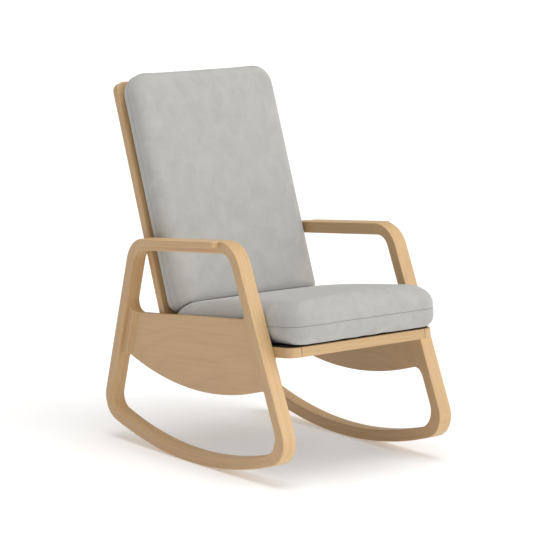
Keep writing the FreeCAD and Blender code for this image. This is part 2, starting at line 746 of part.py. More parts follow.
shanks = []
heads = []
insert_stock = []
for number, point in enumerate(seat_bolt_points + stile_bolt_points, start=1):
    width = "dims.rail_width" if number <= len(seat_bolt_points) else "dims.stile_width"
    thickness = sheet_value(width)
    shank = rod("bolt_shank_%d" % number, point, across, "0.5 * dims.bolt_size",
                width + " + dims.insert_length - 1")
    head = rod("bolt_head_%d" % number, point - across * dim("head_thick"), across,
               "0.5 * dims.head_size", "dims.head_thick")
    socket_size = "0.2 * dims.head_size"
    key = rod("bolt_key_%d" % number, point - across * dim("head_thick"), across,
              socket_size, "0.6 * dims.head_thick")
    shanks.append(shank)
    heads.append(cut("bolt_%d" % number, fuse("bolt_blank_%d" % number, shank, head), key))
    insert_stock.append(rod("insert_%d" % number, point + across * thickness, across,
                            "0.5 * dims.insert_size", "dims.insert_length"))

seat_count = len(seat_bolt_points)
shank_group = cluster("bolt_shanks", shanks)
insert_group = cluster("insert_blanks", insert_stock)
left_inserts = cut("left_inserts", insert_group, shank_group)
left_seat_bolts = cluster("left_seat_bolts", heads[:seat_count])
left_back_bolts = cluster("left_back_bolts", heads[seat_count:])

# ---------------------------------------------------------------- arm pads, glued to the arm rails
arm_pad = new_body("left_arm_pad", ARM_TOP)
pad_plan = new_sketch(arm_pad, "arm_pad_plan", "XY_Plane", "-1 * dims.pad_thick")
rectangle(pad_plan, "dims.inner_half + dims.member_depth - dims.pad_bite", "dims.pad_front",
          "dims.pad_reach + dims.pad_bite", "dims.pad_length")
pad(arm_pad, pad_plan, "dims.pad_thick")
pad_edge = outer_face + dim("pad_reach")


def upright_outer(edge):
    tall = edge.BoundBox.ZLength > 0.9 * dim("pad_thick")
    return tall and edge.CenterOfMass.x > pad_edge - 1


def pad_rim(edge):
    """The long outer rims, with the two rounded ends."""
    centre = edge.CenterOfMass
    flat = abs(centre.z) < 0.01 or abs(centre.z + dim("pad_thick")) < 0.01
    return flat and centre.x > outer_face - dim("pad_bite") + 1


round_edges(arm_pad, "dims.pad_round", upright_outer, "ends")
round_edges(arm_pad, "dims.pad_rim", pad_rim, "rim")

arm_rail = cut("left_arm_rail", cut("arm_rail_bored", arm_stock, left_dowels), arm_pad)
front_leg_plain = cut("front_leg_plain", front_leg_stock, left_dowels)
front_leg = cut("left_front_leg", front_leg_plain, arm_pad)
rear_leg = cut("left_rear_leg", cut("rear_leg_bored", rear_leg_stock, left_dowels), insert_group)
rocker = cut("left_rocker", rocker_stock, left_dowels)
side_panel = cut("left_side_panel", panel_stock, insert_group)

SIDE_PIECES = [arm_rail, front_leg, rear_leg, rocker, side_panel, arm_pad, left_dowels,
               left_inserts, left_seat_bolts, left_back_bolts]
nodes = list(SIDE_PIECES)
for piece in SIDE_PIECES:
    nodes.append(mirrored(piece.Label.replace("left", "right"), piece))

# ---------------------------------------------------------------- seat frame
rail_end = "dims.inner_half - dims.corner_width"
front_rail = slab("seat_front_rail", SEAT, (
    "-1 * dims.inner_half + dims.corner_width", "0", "-1 * dims.rail_height",
    "2 * dims.inner_half - 2 * dims.corner_width", "dims.rail_width", "dims.rail_height"))
rear_rail = slab("seat_rear_rail", SEAT, (
    "-1 * dims.inner_half + dims.rail_width", "dims.seat_length - dims.rail_width",
    "-1 * dims.rail_height", "2 * dims.inner_half - 2 * dims.rail_width",
    "dims.rail_width", "dims.rail_height"))


def front_rim(edge):
    """The front rail's two long front edges."""
    centre = edge.CenterOfMass
    return abs(centre.y) < 0.01 and abs(centre.x) < 1


round_edges(front_rail, "dims.frame_round", front_rim, "front")
joint_x = inner_face - dim("corner_width")
bevel_edges(front_rail, "dims.joint_vee",
            lambda edge: in_plane(edge, "X", joint_x) or in_plane(edge, "X", -joint_x))

corner = slab("left_corner_block", SEAT, (
    rail_end, "0", "-1 * dims.rail_height", "dims.corner_width", "dims.corner_length",
    "dims.rail_height"))


def corner_upright(edge):
    centre = edge.CenterOfMass
    return abs(centre.y) < 0.01 and abs(centre.x - inner_face) < 0.01


def corner_rim(edge):
    """The rims along the front, the rounded corner and the outer side."""
    centre = edge.CenterOfMass
    level = abs(centre.z) < 0.01 or abs(centre.z + dim("rail_height")) < 0.01
    radius = dim("corner_round")
    on_front = abs(centre.y) < 0.01
    on_side = abs(centre.x - inner_face) < 0.01
    near = inner_face - radius
    on_round = centre.x > near + 1 and centre.y < radius - 1
    return level and (on_front or on_side or on_round)


round_edges(corner, "dims.corner_round", corner_upright, "corner")
round_edges(corner, "dims.frame_round", corner_rim, "rim")
bevel_edges(corner, "dims.joint_vee", lambda edge: in_plane(edge, "X", joint_x))

side_rail_plain = slab("side_rail_plain", SEAT, (
    "dims.inner_half - dims.rail_width", "dims.corner_length", "-1 * dims.rail_height",
    "dims.rail_width", "dims.seat_length - dims.corner_length", "dims.rail_height"))

# Two dowels, one over the other, at each of the six joints of the seat frame.
SEAT_JOINTS = [
    (inner_face - dim("corner_width"), 0.5 * dim("rail_width"), across),
    (inner_face - 0.5 * dim("rail_width"), dim("corner_length"), arm_way),
    (inner_face - dim("rail_width"), dim("seat_length") - 0.5 * dim("rail_width"), across),
]
DOWEL_LEVELS = (0.27, 0.73)
left_seat_dowels = []
for number, (x, y, way) in enumerate(SEAT_JOINTS, start=1):
    for level in DOWEL_LEVELS:
        middle = along(SEAT, x, y, -level * dim("rail_height"))
        name = "seat_dowel_%d_%d" % (number, 100 * level)
        left_seat_dowels.append(rod(name, middle - way * (0.5 * dim("dowel_length")), way,
                                    "0.5 * dims.dowel_size", "dims.dowel_length"))
seat_dowel_half = cluster("seat_dowel_half", left_seat_dowels)
seat_dowels = cluster("seat_frame_dowels", [seat_dowel_half, mirrored("seat_dowel_twin", seat_dowel_half)])

side_rail = cut("left_seat_rail", cut("side_rail_bored", side_rail_plain, shank_group),
                seat_dowel_half)
corner_block = cut("left_seat_corner", corner, seat_dowel_half)
front_rail_bored = cut("seat_front_rail_bored", front_rail, seat_dowels)
rear_rail_bored = cut("seat_rear_rail_bored", rear_rail, seat_dowels)
front_rail.Label = "seat_front_rail_stock"
rear_rail.Label = "seat_rear_rail_stock"
front_rail_bored.Label = "seat_front_rail"
rear_rail_bored.Label = "seat_rear_rail"
corner.Label = "seat_corner_stock"
nodes.extend([front_rail_bored, rear_rail_bored, side_rail, corner_block, seat_dowels])
nodes.append(mirrored("right_seat_rail", side_rail))
nodes.append(mirrored("right_seat_corner", corner_block))

# Elastic straps cross the seat from side rail to side rail, under the deck cloth.
strap = slab("strap_stock", SEAT, (
    "-1 * dims.inner_half + dims.strap_inset", "dims.rail_width + dims.strap_margin", "0",
    "2 * dims.inner_half - 2 * dims.strap_inset", "dims.strap_width", "dims.strap_thick"))
strap_row = strap.newObject("PartDesign::LinearPattern", "strap_row")
strap_row.Originals = [strap.Tip]
strap_row.Direction = (origin_plane(strap, "Y_Axis"), [""])
bind(strap_row, "Length",
     "dims.seat_length - 2 * dims.rail_width - 2 * dims.strap_margin - dims.strap_width")
bind(strap_row, "Occurrences", "dims.strap_count")
strap.Tip = strap_row
strap.Label = "seat_webbing"
nodes.append(strap)

deck = slab("seat_deck_cloth", SEAT, (
    "-1 * dims.inner_half + dims.deck_inset", "dims.deck_setback", "dims.strap_thick",
    "2 * dims.inner_half - 2 * dims.deck_inset", "dims.seat_length - 2 * dims.deck_setback",
    "dims.cloth_thick"))


def deck_corner(edge):
    centre = edge.CenterOfMass
    return edge.Length < 2 * dim("cloth_thick") and centre.y < 10


round_edges(deck, "dims.corner_round - dims.deck_trim", deck_corner, "corners")
nodes.append(deck)

# ---------------------------------------------------------------- back frame
stile = slab("stile_stock", BACK, (
    "dims.inner_half - dims.stile_width", "0", "-1 * dims.stile_tail",
    "dims.stile_width", "dims.stile_thick", "dims.back_height - dims.back_rail + dims.stile_tail"))


def is_long(edge):
    return edge.Length > 300


round_edges(stile, "dims.frame_round", is_long, "edges")

top_rail = slab("top_rail_stock", BACK, (
    "-1 * dims.inner_half", "0", "dims.back_height - dims.back_rail",
    "2 * dims.inner_half", "dims.stile_thick", "dims.back_rail"))


def top_corner(edge):
    centre = edge.CenterOfMass
    on_end = abs(abs(centre.x) - inner_face) < 0.01
    return on_end and abs(centre.z - dim("back_height")) < 0.01


def top_rim(edge):
    """Front and rear rims of the top rail, round its corners but not along its joint."""
    centre = edge.CenterOfMass
    on_face = abs(centre.y) < 0.01 or abs(centre.y - dim("stile_thick")) < 0.01
    return on_face and centre.z > dim("back_height") - dim("back_rail") + 1


round_edges(top_rail, "dims.back_round", top_corner, "corners")
round_edges(top_rail, "dims.frame_round", top_rim, "rim")

reach_in = "dims.inner_half - dims.stile_width + dims.tenon"
bottom_rail = slab("back_bottom_rail", BACK, (
    "-1 * dims.inner_half + dims.stile_width - dims.tenon",
    "0.5 * dims.stile_thick - 0.5 * dims.back_rail_thick",
    "dims.back_rail_low", "2 * dims.inner_half - 2 * dims.stile_width + 2 * dims.tenon",
    "dims.back_rail_thick", "dims.back_rail"))
nodes.append(bottom_rail)

# The slats share the height between the bottom rail and the top rail with equal gaps.
slat_space = dim("back_height") - 2 * dim("back_rail") - dim("back_rail_low")
slat_gap = (slat_space - dim("slat_count") * dim("slat_height")) / (dim("slat_count") + 1)
slats = []
for number in range(1, int(dim("slat_count")) + 1):
    low = dim("back_rail_low") + dim("back_rail") + number * slat_gap
    low = low + (number - 1) * dim("slat_height")
    slat = slab("back_slat_%d" % number, BACK, (
        "-1 * dims.inner_half + dims.stile_width - dims.tenon",
        "0.5 * dims.stile_thick - 0.5 * dims.slat_thick", str(round(low, 3)),
        "2 * dims.inner_half - 2 * dims.stile_width + 2 * dims.tenon",
        "dims.slat_thick", "dims.slat_height"))
    slats.append(slat)
nodes.extend(slats)
tenons = cluster("tenon_group", slats + [bottom_rail])

# Two dowels join each stile to the top rail.
up = BACK.Rotation.multVec(Vector(0, 0, 1))
stile_dowels = []
for number, inset in enumerate((0.28, 0.72), start=1):
    middle = along(BACK, inner_face - inset * dim("stile_width"), 0.5 * dim("stile_thick"),
                   dim("back_height") - dim("back_rail"))
    stile_dowels.append(rod("stile_dowel_%d" % number, middle - up * (0.5 * dim("dowel_length")), up,
                            "0.5 * dims.dowel_size", "dims.dowel_length"))
stile_dowel_half = cluster("stile_dowel_half", stile_dowels)
stile_dowel_twin = mirrored("stile_dowel_twin", stile_dowel_half)
back_dowels = cluster("back_frame_dowels", [stile_dowel_half, stile_dowel_twin])
nodes.append(back_dowels)

stile_open = cut("stile_mortised", cut("stile_bored", stile, tenons), shank_group)
left_stile = cut("left_back_stile", stile_open, stile_dowel_half)
top_rail_done = cut("back_top_rail", top_rail, back_dowels)
nodes.extend([left_stile, mirrored("right_back_stile", left_stile), top_rail_done])

# ---------------------------------------------------------------- cushions
# Each cushion is a sewn cover, hollow inside. The seat's holds a foam core in loose wadding,
# and the back's holds loose wadding alone.
deck_top = "dims.strap_thick + dims.cloth_thick + dims.cushion_gap"


def is_upright(edge):
    box = edge.BoundBox
    return box.XLength < 0.01 and box.YLength < 0.01


def wedge(sketch, front, rear, low, front_high, rear_high):
    """A side profile with a level foot and a sloping top, from five expressions."""
    start, stop, foot = sheet_value(front), sheet_value(rear), sheet_value(low)
    heights = (sheet_value(front_high), sheet_value(rear_high))
    points = [Vector(start, foot, 0), Vector(stop, foot, 0), Vector(stop, foot + heights[1], 0),
              Vector(start, foot + heights[0], 0)]
    for index in range(4):
        sketch.addGeometry(Part.LineSegment(points[index], points[(index + 1) % 4]), False)
    for index in range(4):
        sketch.addConstraint(Sketcher.Constraint("Coincident", index, 2, (index + 1) % 4, 1))
    sketch.addConstraint(Sketcher.Constraint("Horizontal", 0))
    sketch.addConstraint(Sketcher.Constraint("Vertical", 1))
    sketch.addConstraint(Sketcher.Constraint("Vertical", 3))
    datum(sketch, "front", Sketcher.Constraint("DistanceX", -1, 1, 0, 1, start), front)
    datum(sketch, "rear", Sketcher.Constraint("DistanceX", -1, 1, 0, 2, stop), rear)
    datum(sketch, "low", Sketcher.Constraint("DistanceY", -1, 1, 0, 1, foot), low)
    datum(sketch, "rear_high", Sketcher.Constraint("DistanceY", 1, 1, 1, 2, heights[1]), rear_high)
    datum(sketch, "front_high", Sketcher.Constraint("DistanceY", 0, 1, 2, 2, heights[0]), front_high)


def seat_block(name, side_inset, top_inset, rim_size):
    """A rounded wedge inside the seat cushion, set in from its sides and from its top and foot."""
    body = new_body(name, SEAT)
    profile = new_sketch(body, name + "_profile", "YZ_Plane",
                         "-1 * dims.seat_cushion_half + " + side_inset)
    wedge(profile,
          "-1 * dims.seat_cushion_over + " + side_inset,
          "dims.seat_length - " + side_inset,
          deck_top + " + " + top_inset,
          "dims.seat_cushion_front - 2 * " + top_inset,
          "dims.seat_cushion_rear - 2 * " + top_inset)
    pad(body, profile, "2 * dims.seat_cushion_half - 2 * " + side_inset)
    middle = 0.5 * dim("seat_length")

    def at_front(edge):
        return is_upright(edge) and edge.CenterOfMass.y < middle

    def at_rear(edge):
        return is_upright(edge) and edge.CenterOfMass.y > middle

    round_edges(body, "dims.seat_cushion_corner - " + side_inset, at_front, "corners")
    round_edges(body, "dims.seat_cushion_tail - " + side_inset, at_rear, "tail")
    round_edges(body, rim_size, lambda edge: not is_upright(edge), "rim")
    return body


def back_block(name, inset):
    """A rounded slab inside the back cushion, set in from its faces."""
    body = slab(name, BACK, (
        "-1 * dims.back_cushion_half + " + inset,
        "-1 * dims.back_cushion_thick - dims.cushion_gap + " + inset,
        "dims.back_cushion_low + " + inset,
        "2 * dims.back_cushion_half - 2 * " + inset,
        "dims.back_cushion_thick - 2 * " + inset,
        "dims.back_cushion_top - dims.back_cushion_low - 2 * " + inset))
    middle = 0.5 * dim("back_cushion_top")

    def runs_through(edge):
        return edge.BoundBox.YLength > 1

    def at_top(edge):
        return runs_through(edge) and edge.CenterOfMass.z > middle

    def at_foot(edge):
        return runs_through(edge) and edge.CenterOfMass.z < middle

    round_edges(body, "dims.back_cushion_corner - " + inset, at_top, "corners")
    round_edges(body, "dims.back_cushion_heel - " + inset, at_foot, "heels")
    round_edges(body, "dims.back_cushion_round - " + inset,
                lambda edge: not runs_through(edge), "rim")
    return body


COVER = "dims.cover_thick"
seat_outer = seat_block("seat_cover_outer", "0", "0", "dims.seat_cushion_round")
seat_inner = seat_block("seat_cover_inner", COVER, COVER, "dims.seat_cushion_round - " + COVER)
seat_cover = cut("seat_cushion_cover", seat_outer, seat_inner)
seat_core = seat_block("seat_cushion_core", "dims.core_inset", "dims.core_sink", "dims.core_round")

# The back cushion's foot wraps the rear of the seat cushion and hangs a little behind it.
seat_room = seat_block("seat_room", "dims.room_inset", "dims.room_inset",
                       "dims.seat_cushion_round")
lining_room = seat_block("lining_room", "dims.lining_inset", "dims.lining_inset",
                         "dims.seat_cushion_round")
back_outer = cut("back_cover_outer", back_block("back_outer_block", "0"), seat_room)
back_inner = cut("back_cover_inner", back_block("back_inner_block", COVER), lining_room)
back_cover = cut("back_cushion_cover", back_outer, back_inner)
nodes.extend([seat_cover, seat_core, back_cover])

# ---------------------------------------------------------------- zips of the cushion covers
# The seat's zip is on its rear face. The back's faces the gap under the lowest slat.
half_zip = "-0.5 * dims.zip_length"
seat_zip_level = sheet_value(deck_top) + 0.5 * dim("seat_cushion_rear") - dim("zip_drop")
back_zip_level = dim("back_rail_low") + dim("back_rail") + 0.5 * slat_gap
SEAT_ZIP = SEAT.multiply(Placement(
    Vector(0, dim("seat_length") + dim("cushion_gap"), seat_zip_level),
    Rotation(Vector(1, 0, 0), -90)))
BACK_ZIP = BACK.multiply(Placement(
    Vector(0, 0, back_zip_level), Rotation(Vector(1, 0, 0), -90)))


def zip_pieces(name, axes):
    """Tapes with their closed coil, and a slider, on axes whose own Z leaves the cover."""
    tapes = slab(name + "_zip_tapes", axes, (
        half_zip, "-0.5 * dims.zip_width", "0", "dims.zip_length", "dims.zip_width",
        "dims.tape_thick"))
    coil = new_sketch(tapes, name + "_zip_coil", "XY_Plane", "dims.tape_thick")
    rectangle(coil, half_zip, "-0.5 * dims.coil_width", "dims.zip_length", "dims.coil_width")
    pad(tapes, coil, "dims.coil_thick")
    lift = "dims.tape_thick + dims.coil_thick + dims.cushion_gap"
    slider = slab(name + "_zip_slider", axes, (
        half_zip, "-0.5 * dims.slider_width", lift, "dims.slider_length", "dims.slider_width",
        "dims.slider_thick"))
    pull = new_sketch(slider, name + "_zip_pull", "XY_Plane", lift + " + dims.slider_thick")
    rectangle(pull, half_zip + " + 0.5 * dims.slider_length - dims.pull_lap",
              "-0.5 * dims.pull_width", "dims.pull_length", "dims.pull_width")
    pad(slider, pull, "dims.pull_thick")
    return [tapes, slider]


nodes.extend(zip_pieces("seat_cushion", SEAT_ZIP))
nodes.extend(zip_pieces("back_cushion", BACK_ZIP))

# ---------------------------------------------------------------- check and write
doc.recompute()
for thing in doc.Objects:
    if "Invalid" in thing.State or "Error" in thing.State:
        raise RuntimeError("%s did not build: %s" % (thing.Name, thing.State))

os.makedirs("parts", exist_ok=True)
for node in nodes:
    shape = node.Shape
    if shape.isNull() or not shape.isValid():
        raise RuntimeError("%s has no valid shape" % node.Label)
    if shape.Volume <= 0:
        raise RuntimeError("%s has no volume" % node.Label)
    shape.exportStep(os.path.join("parts", node.Label + ".step"))
    box = shape.BoundBox
    print("%-24s %2d solids %9.0f mm3  X %7.1f %7.1f  Y %7.1f %7.1f  Z %7.1f %7.1f" % (
        node.Label, len(shape.Solids), shape.Volume, box.XMin, box.XMax, box.YMin, box.YMax,
        box.ZMin, box.ZMax))
print(len(nodes), "nodes")
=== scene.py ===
import math

import bmesh
import bpy
from mathutils import Matrix, Vector
from mathutils.bvhtree import BVHTree


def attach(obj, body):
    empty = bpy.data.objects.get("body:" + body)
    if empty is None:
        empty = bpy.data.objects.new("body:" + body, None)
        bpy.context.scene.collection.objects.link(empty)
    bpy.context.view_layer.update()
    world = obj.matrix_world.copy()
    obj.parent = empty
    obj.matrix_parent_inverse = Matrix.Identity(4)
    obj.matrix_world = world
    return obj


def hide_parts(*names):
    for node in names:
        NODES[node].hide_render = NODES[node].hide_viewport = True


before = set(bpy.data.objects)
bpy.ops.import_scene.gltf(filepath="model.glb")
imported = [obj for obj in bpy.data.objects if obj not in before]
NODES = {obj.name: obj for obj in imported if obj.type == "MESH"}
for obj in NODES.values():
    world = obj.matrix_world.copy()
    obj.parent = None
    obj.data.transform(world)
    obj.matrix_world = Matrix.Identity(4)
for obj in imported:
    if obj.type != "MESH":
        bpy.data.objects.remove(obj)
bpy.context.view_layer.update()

# ---------------------------------------------------------------- the chair's own slopes
RAKE = math.radians(6.0)            # arms, side panels and seat, front higher
RECLINE = math.radians(20.1)        # back frame, from the vertical
FRONT_LEAN = math.radians(24.0)     # front legs, foot forward
REAR_LEAN = math.radians(15.65)     # rear legs, foot backward
ROCKER_RADIUS = 1.190               # underside of the rockers

# ---------------------------------------------------------------- camera, light and floor
CAMERA_AZIMUTH = math.radians(-37.384)
CAMERA_ELEVATION = math.radians(9.565)
CAMERA_DISTANCE = 7.489
CAMERA_AIM = Vector((-0.0155, 0.0118, 0.5187))
CAMERA_LENS = 180.6                 # on a sensor 36 mm wide


def add_camera():
    """A long lens, low and to the sitter's right."""
    back = Vector((
        math.sin(CAMERA_AZIMUTH) * math.cos(CAMERA_ELEVATION),
        -math.cos(CAMERA_AZIMUTH) * math.cos(CAMERA_ELEVATION),
        math.sin(CAMERA_ELEVATION)))
    data = bpy.data.cameras.new("camera")
    data.lens = CAMERA_LENS
    data.sensor_width = 36.0
    data.clip_end = 100.0
    camera = bpy.data.objects.new("camera", data)
    camera.location = CAMERA_AIM + back * CAMERA_DISTANCE
    camera.rotation_euler = back.to_track_quat("Z", "Y").to_euler()
    bpy.context.collection.objects.link(camera)
    bpy.context.scene.camera = camera


def add_sun(name, source, strength, spread):
    """A wide, even light from a direction, given as the way toward it."""
    data = bpy.data.lights.new(name, "SUN")
    data.energy = strength
    data.angle = math.radians(spread)
    lamp = bpy.data.objects.new(name, data)
    lamp.rotation_euler = Vector(source).to_track_quat("Z", "Y").to_euler()
    bpy.context.collection.objects.link(lamp)


def add_light():
    """An even white room with a broad overhead light and a weaker one in front."""
    world = bpy.data.worlds.new("studio")
    world.use_nodes = True
    background = world.node_tree.nodes["Background"]
    background.inputs["Color"].default_value = (1.0, 0.995, 0.985, 1.0)
    background.inputs["Strength"].default_value = 0.36
    bpy.context.scene.world = world
    add_sun("overhead", (-0.05, -0.14, 1.0), 1.5, 44)
    add_sun("front_fill", (0.45, -1.0, 0.55), 1.25, 60)
    bpy.context.scene.view_settings.view_transform = "Standard"


def add_floor():
    mesh = bpy.data.meshes.new("floor")
    reach = 40.0
    corners = [(-reach, -reach, 0), (reach, -reach, 0), (reach, reach, 0), (-reach, reach, 0)]
    mesh.from_pydata(corners, [], [(0, 1, 2, 3)])
    floor = bpy.data.objects.new("floor", mesh)
    bpy.context.collection.objects.link(floor)
    paint = bpy.data.materials.new("pale_floor")
    paint.use_nodes = True
    shader = paint.node_tree.nodes["Principled BSDF"]
    shader.inputs["Base Color"].default_value = (0.86, 0.86, 0.86, 1)
    shader.inputs["Roughness"].default_value = 1.0
    shader.inputs["Specular IOR Level"].default_value = 0.0
    shader.inputs["Emission Color"].default_value = (1, 1, 1, 1)
    shader.inputs["Emission Strength"].default_value = 0.26
    mesh.materials.append(paint)


# ---------------------------------------------------------------- axes and sizes of the cushions
SEAT_AXES = Matrix.Translation((0.0, -0.401, 0.378)) @ Matrix.Rotation(-RAKE, 4, "X")
BACK_AXES = Matrix.Translation((0.0, 0.14375, 0.300)) @ Matrix.Rotation(-RECLINE, 4, "X")
SIDE_ROOM = 0.2504                  # a cushion's side from the middle, inside the side panels
CROWN_HALF = 0.245                  # half the width that a cushion's crown spans
SEAT_CROWN = 0.015                  # rise of the seat cushion's top
SEAT_FOOT = 0.0040                  # its underside above the seat frame, on the deck cloth
SEAT_FRONT = 0.0355                 # its front, ahead of the seat frame's
SEAT_REAR = 0.5405                  # its rear, behind the seat frame's front
BACK_CROWN = 0.003                  # rise of the back cushion's front
BACK_FRONT = 0.0935                 # its front, ahead of the slats' frame
BACK_TOP = 0.7775                   # its top, along the back
FREE_LENGTH = 0.03                  # the seat cushion's stretch ahead of the legs
SEAM_REACH = 0.0042                 # how far a seam draws the cloth in, to each side
JOINT_X = 0.2145                    # glued joints of the seat's front rail, from the middle
REST_GAP = 0.0006                   # back cushion clear of the seat cushion
CLOTH_FRAMES = 20
VOXEL = 0.006
SEAT_SEAM = 0.0560                  # seat cushion's seam above the seat frame, at its front
SEAM_FALL = 0.018                   # how much lower it is a metre to the rear
BACK_SEAM = -0.0420                 # back cushion's seam in front of the slats

# ---------------------------------------------------------------- node helpers
class Tree:
    """Short calls for building a node tree."""

    def __init__(self, tree):
        self.tree = tree

    def node(self, kind, **settings):
        node = self.tree.nodes.new(kind)
        for key, value in settings.items():
            setattr(node, key, value)
        return node

    def link(self, source, target):
        self.tree.links.new(source, target)

    def put(self, socket, value):
        """Set a socket to a number or colour, or link it to another socket."""
        if isinstance(value, bpy.types.NodeSocket):
            self.link(value, socket)
        else:
            socket.default_value = value

    def math(self, operation, a, b=None):
        node = self.node("ShaderNodeMath", operation=operation)
        for index, value in enumerate((a, b)):
            if value is not None:
                self.put(node.inputs[index], value)
        return node.outputs[0]

    def vector(self, operation, a, b=None):
        node = self.node("ShaderNodeVectorMath", operation=operation)
        self.put(node.inputs[0], a)
        if b is not None:
            self.put(node.inputs[1], b)
        return node.outputs["Value"] if operation in ("LENGTH", "DOT_PRODUCT") else node.outputs[0]

    def noise(self, vector, scale, detail=2.0, rough=0.5, distortion=0.0):
        node = self.node("ShaderNodeTexNoise")
        self.put(node.inputs["Vector"], vector)
        node.inputs["Scale"].default_value = scale
        node.inputs["Detail"].default_value = detail
        node.inputs["Roughness"].default_value = rough
        node.inputs["Distortion"].default_value = distortion
        return node.outputs["Fac"]

    def stretch(self, vector, scale):
        return self.vector("MULTIPLY", vector, scale)

    def ramp(self, value, low, high, out_low=0.0, out_high=1.0):
        node = self.node("ShaderNodeMapRange")
        node.clamp = True
        self.put(node.inputs["Value"], value)
        for name, number in (("From Min", low), ("From Max", high), ("To Min", out_low),
                             ("To Max", out_high)):
            self.put(node.inputs[name], number)
        return node.outputs["Result"]

    def mix(self, factor, a, b, blend="MIX"):
        node = self.node("ShaderNodeMix", data_type="RGBA", blend_type=blend)
        self.put(node.inputs["Factor"], factor)
        self.put(node.inputs["A"], a)
        self.put(node.inputs["B"], b)
        return node.outputs["Result"]


def new_group(name, inputs, outputs):
    """A shader node group from two lists of (name, socket type, default)."""
    group = bpy.data.node_groups.new(name, "ShaderNodeTree")
    for label, kind, default in inputs:
        socket = group.interface.new_socket(label, in_out="INPUT", socket_type=kind)
        if default is not None:
            socket.default_value = default
    for label, kind in outputs:
        group.interface.new_socket(label, in_out="OUTPUT", socket_type=kind)
    tree = Tree(group)
    entry = tree.node("NodeGroupInput")
    leave = tree.node("NodeGroupOutput")
    return group, tree, entry.outputs, leave.inputs


COLOUR = "NodeSocketColor"
NUMBER = "NodeSocketFloat"
VECTOR = "NodeSocketVector"


# ---------------------------------------------------------------- shared effects
def build_beech_grain():
    """Straight-grained beech: fibres, growth bands and the short ray flecks. X is the grain."""
    group, tree, given, result = new_group(
        "beech grain",
        [("Vector", VECTOR, None), ("Pale", COLOUR, (0.78, 0.58, 0.37, 1)),
         ("Deep", COLOUR, (0.60, 0.40, 0.23, 1)), ("Figure", NUMBER, 0.5)],
        [("Color", COLOUR), ("Roughness", NUMBER), ("Height", NUMBER)])
    place = given["Vector"]
    drift = tree.noise(tree.stretch(place, (1.3, 9, 9)), 1.0, 2.0)
    bend = tree.noise(tree.stretch(place, (2.2, 7, 7)), 1.0, 1.0)
    shifted = tree.vector("ADD", tree.stretch(place, (0.25, 1.0, 1.0)), (0.0, 0.31, -0.17))
    core = tree.vector("LENGTH", shifted)
    rings = tree.math("ADD", tree.math("MULTIPLY", core, 150.0), tree.math("MULTIPLY", bend, 13.0))
    band = tree.math("PINGPONG", rings, 1.0)
    band = tree.math("POWER", band, 3.0)
    fibre = tree.noise(tree.stretch(place, (9, 620, 620)), 1.0, 3.0, 0.6)
    coarse = tree.noise(tree.stretch(place, (4, 150, 150)), 1.0, 2.0, 0.5)
    fleck = tree.noise(tree.stretch(place, (150, 1250, 1250)), 1.0, 0.0)
    fleck = tree.ramp(fleck, 0.66, 0.74)
    tone = tree.math("MULTIPLY", tree.ramp(drift, 0.3, 0.7), 0.34)
    tone = tree.math("ADD", tone, tree.math("MULTIPLY", tree.ramp(fibre, 0.3, 0.7), 0.22))
    tone = tree.math("ADD", tone, tree.math("MULTIPLY", tree.ramp(coarse, 0.3, 0.7), 0.26))
    figure = tree.math("MULTIPLY", band, given["Figure"])
    tone = tree.math("ADD", tone, figure)
    tone = tree.math("ADD", tone, tree.math("MULTIPLY", fleck, 0.30))
    tone = tree.ramp(tone, 0.0, 1.25)
    colour = tree.mix(tone, given["Pale"], given["Deep"])
    tree.link(colour, result["Color"])
    tree.link(tree.ramp(fibre, 0.2, 0.8, 0.40, 0.52), result["Roughness"])
    height = tree.math("SUBTRACT", fibre, tree.math("MULTIPLY", fleck, 0.7))
    tree.link(height, result["Height"])
    return group


def build_rocker_axes():
    """Axes that follow the rockers: X round the arc, Y across it, Z the chair's own X."""
    group, tree, given, result = new_group(
        "axes round the rocker", [("Vector", VECTOR, None)], [("Vector", VECTOR)])
    parts = tree.node("ShaderNodeSeparateXYZ")
    tree.link(given["Vector"], parts.inputs[0])
    drop = tree.math("SUBTRACT", ROCKER_RADIUS, parts.outputs["Z"])
    angle = tree.math("ARCTAN2", parts.outputs["Y"], drop)
    square = tree.math("ADD", tree.math("MULTIPLY", drop, drop),
                       tree.math("MULTIPLY", parts.outputs["Y"], parts.outputs["Y"]))
    radius = tree.math("SQRT", square)
    joined = tree.node("ShaderNodeCombineXYZ")
    tree.link(tree.math("MULTIPLY", angle, ROCKER_RADIUS), joined.inputs["X"])
    tree.link(radius, joined.inputs["Y"])
    tree.link(parts.outputs["X"], joined.inputs["Z"])
    tree.link(joined.outputs[0], result["Vector"])
    return group


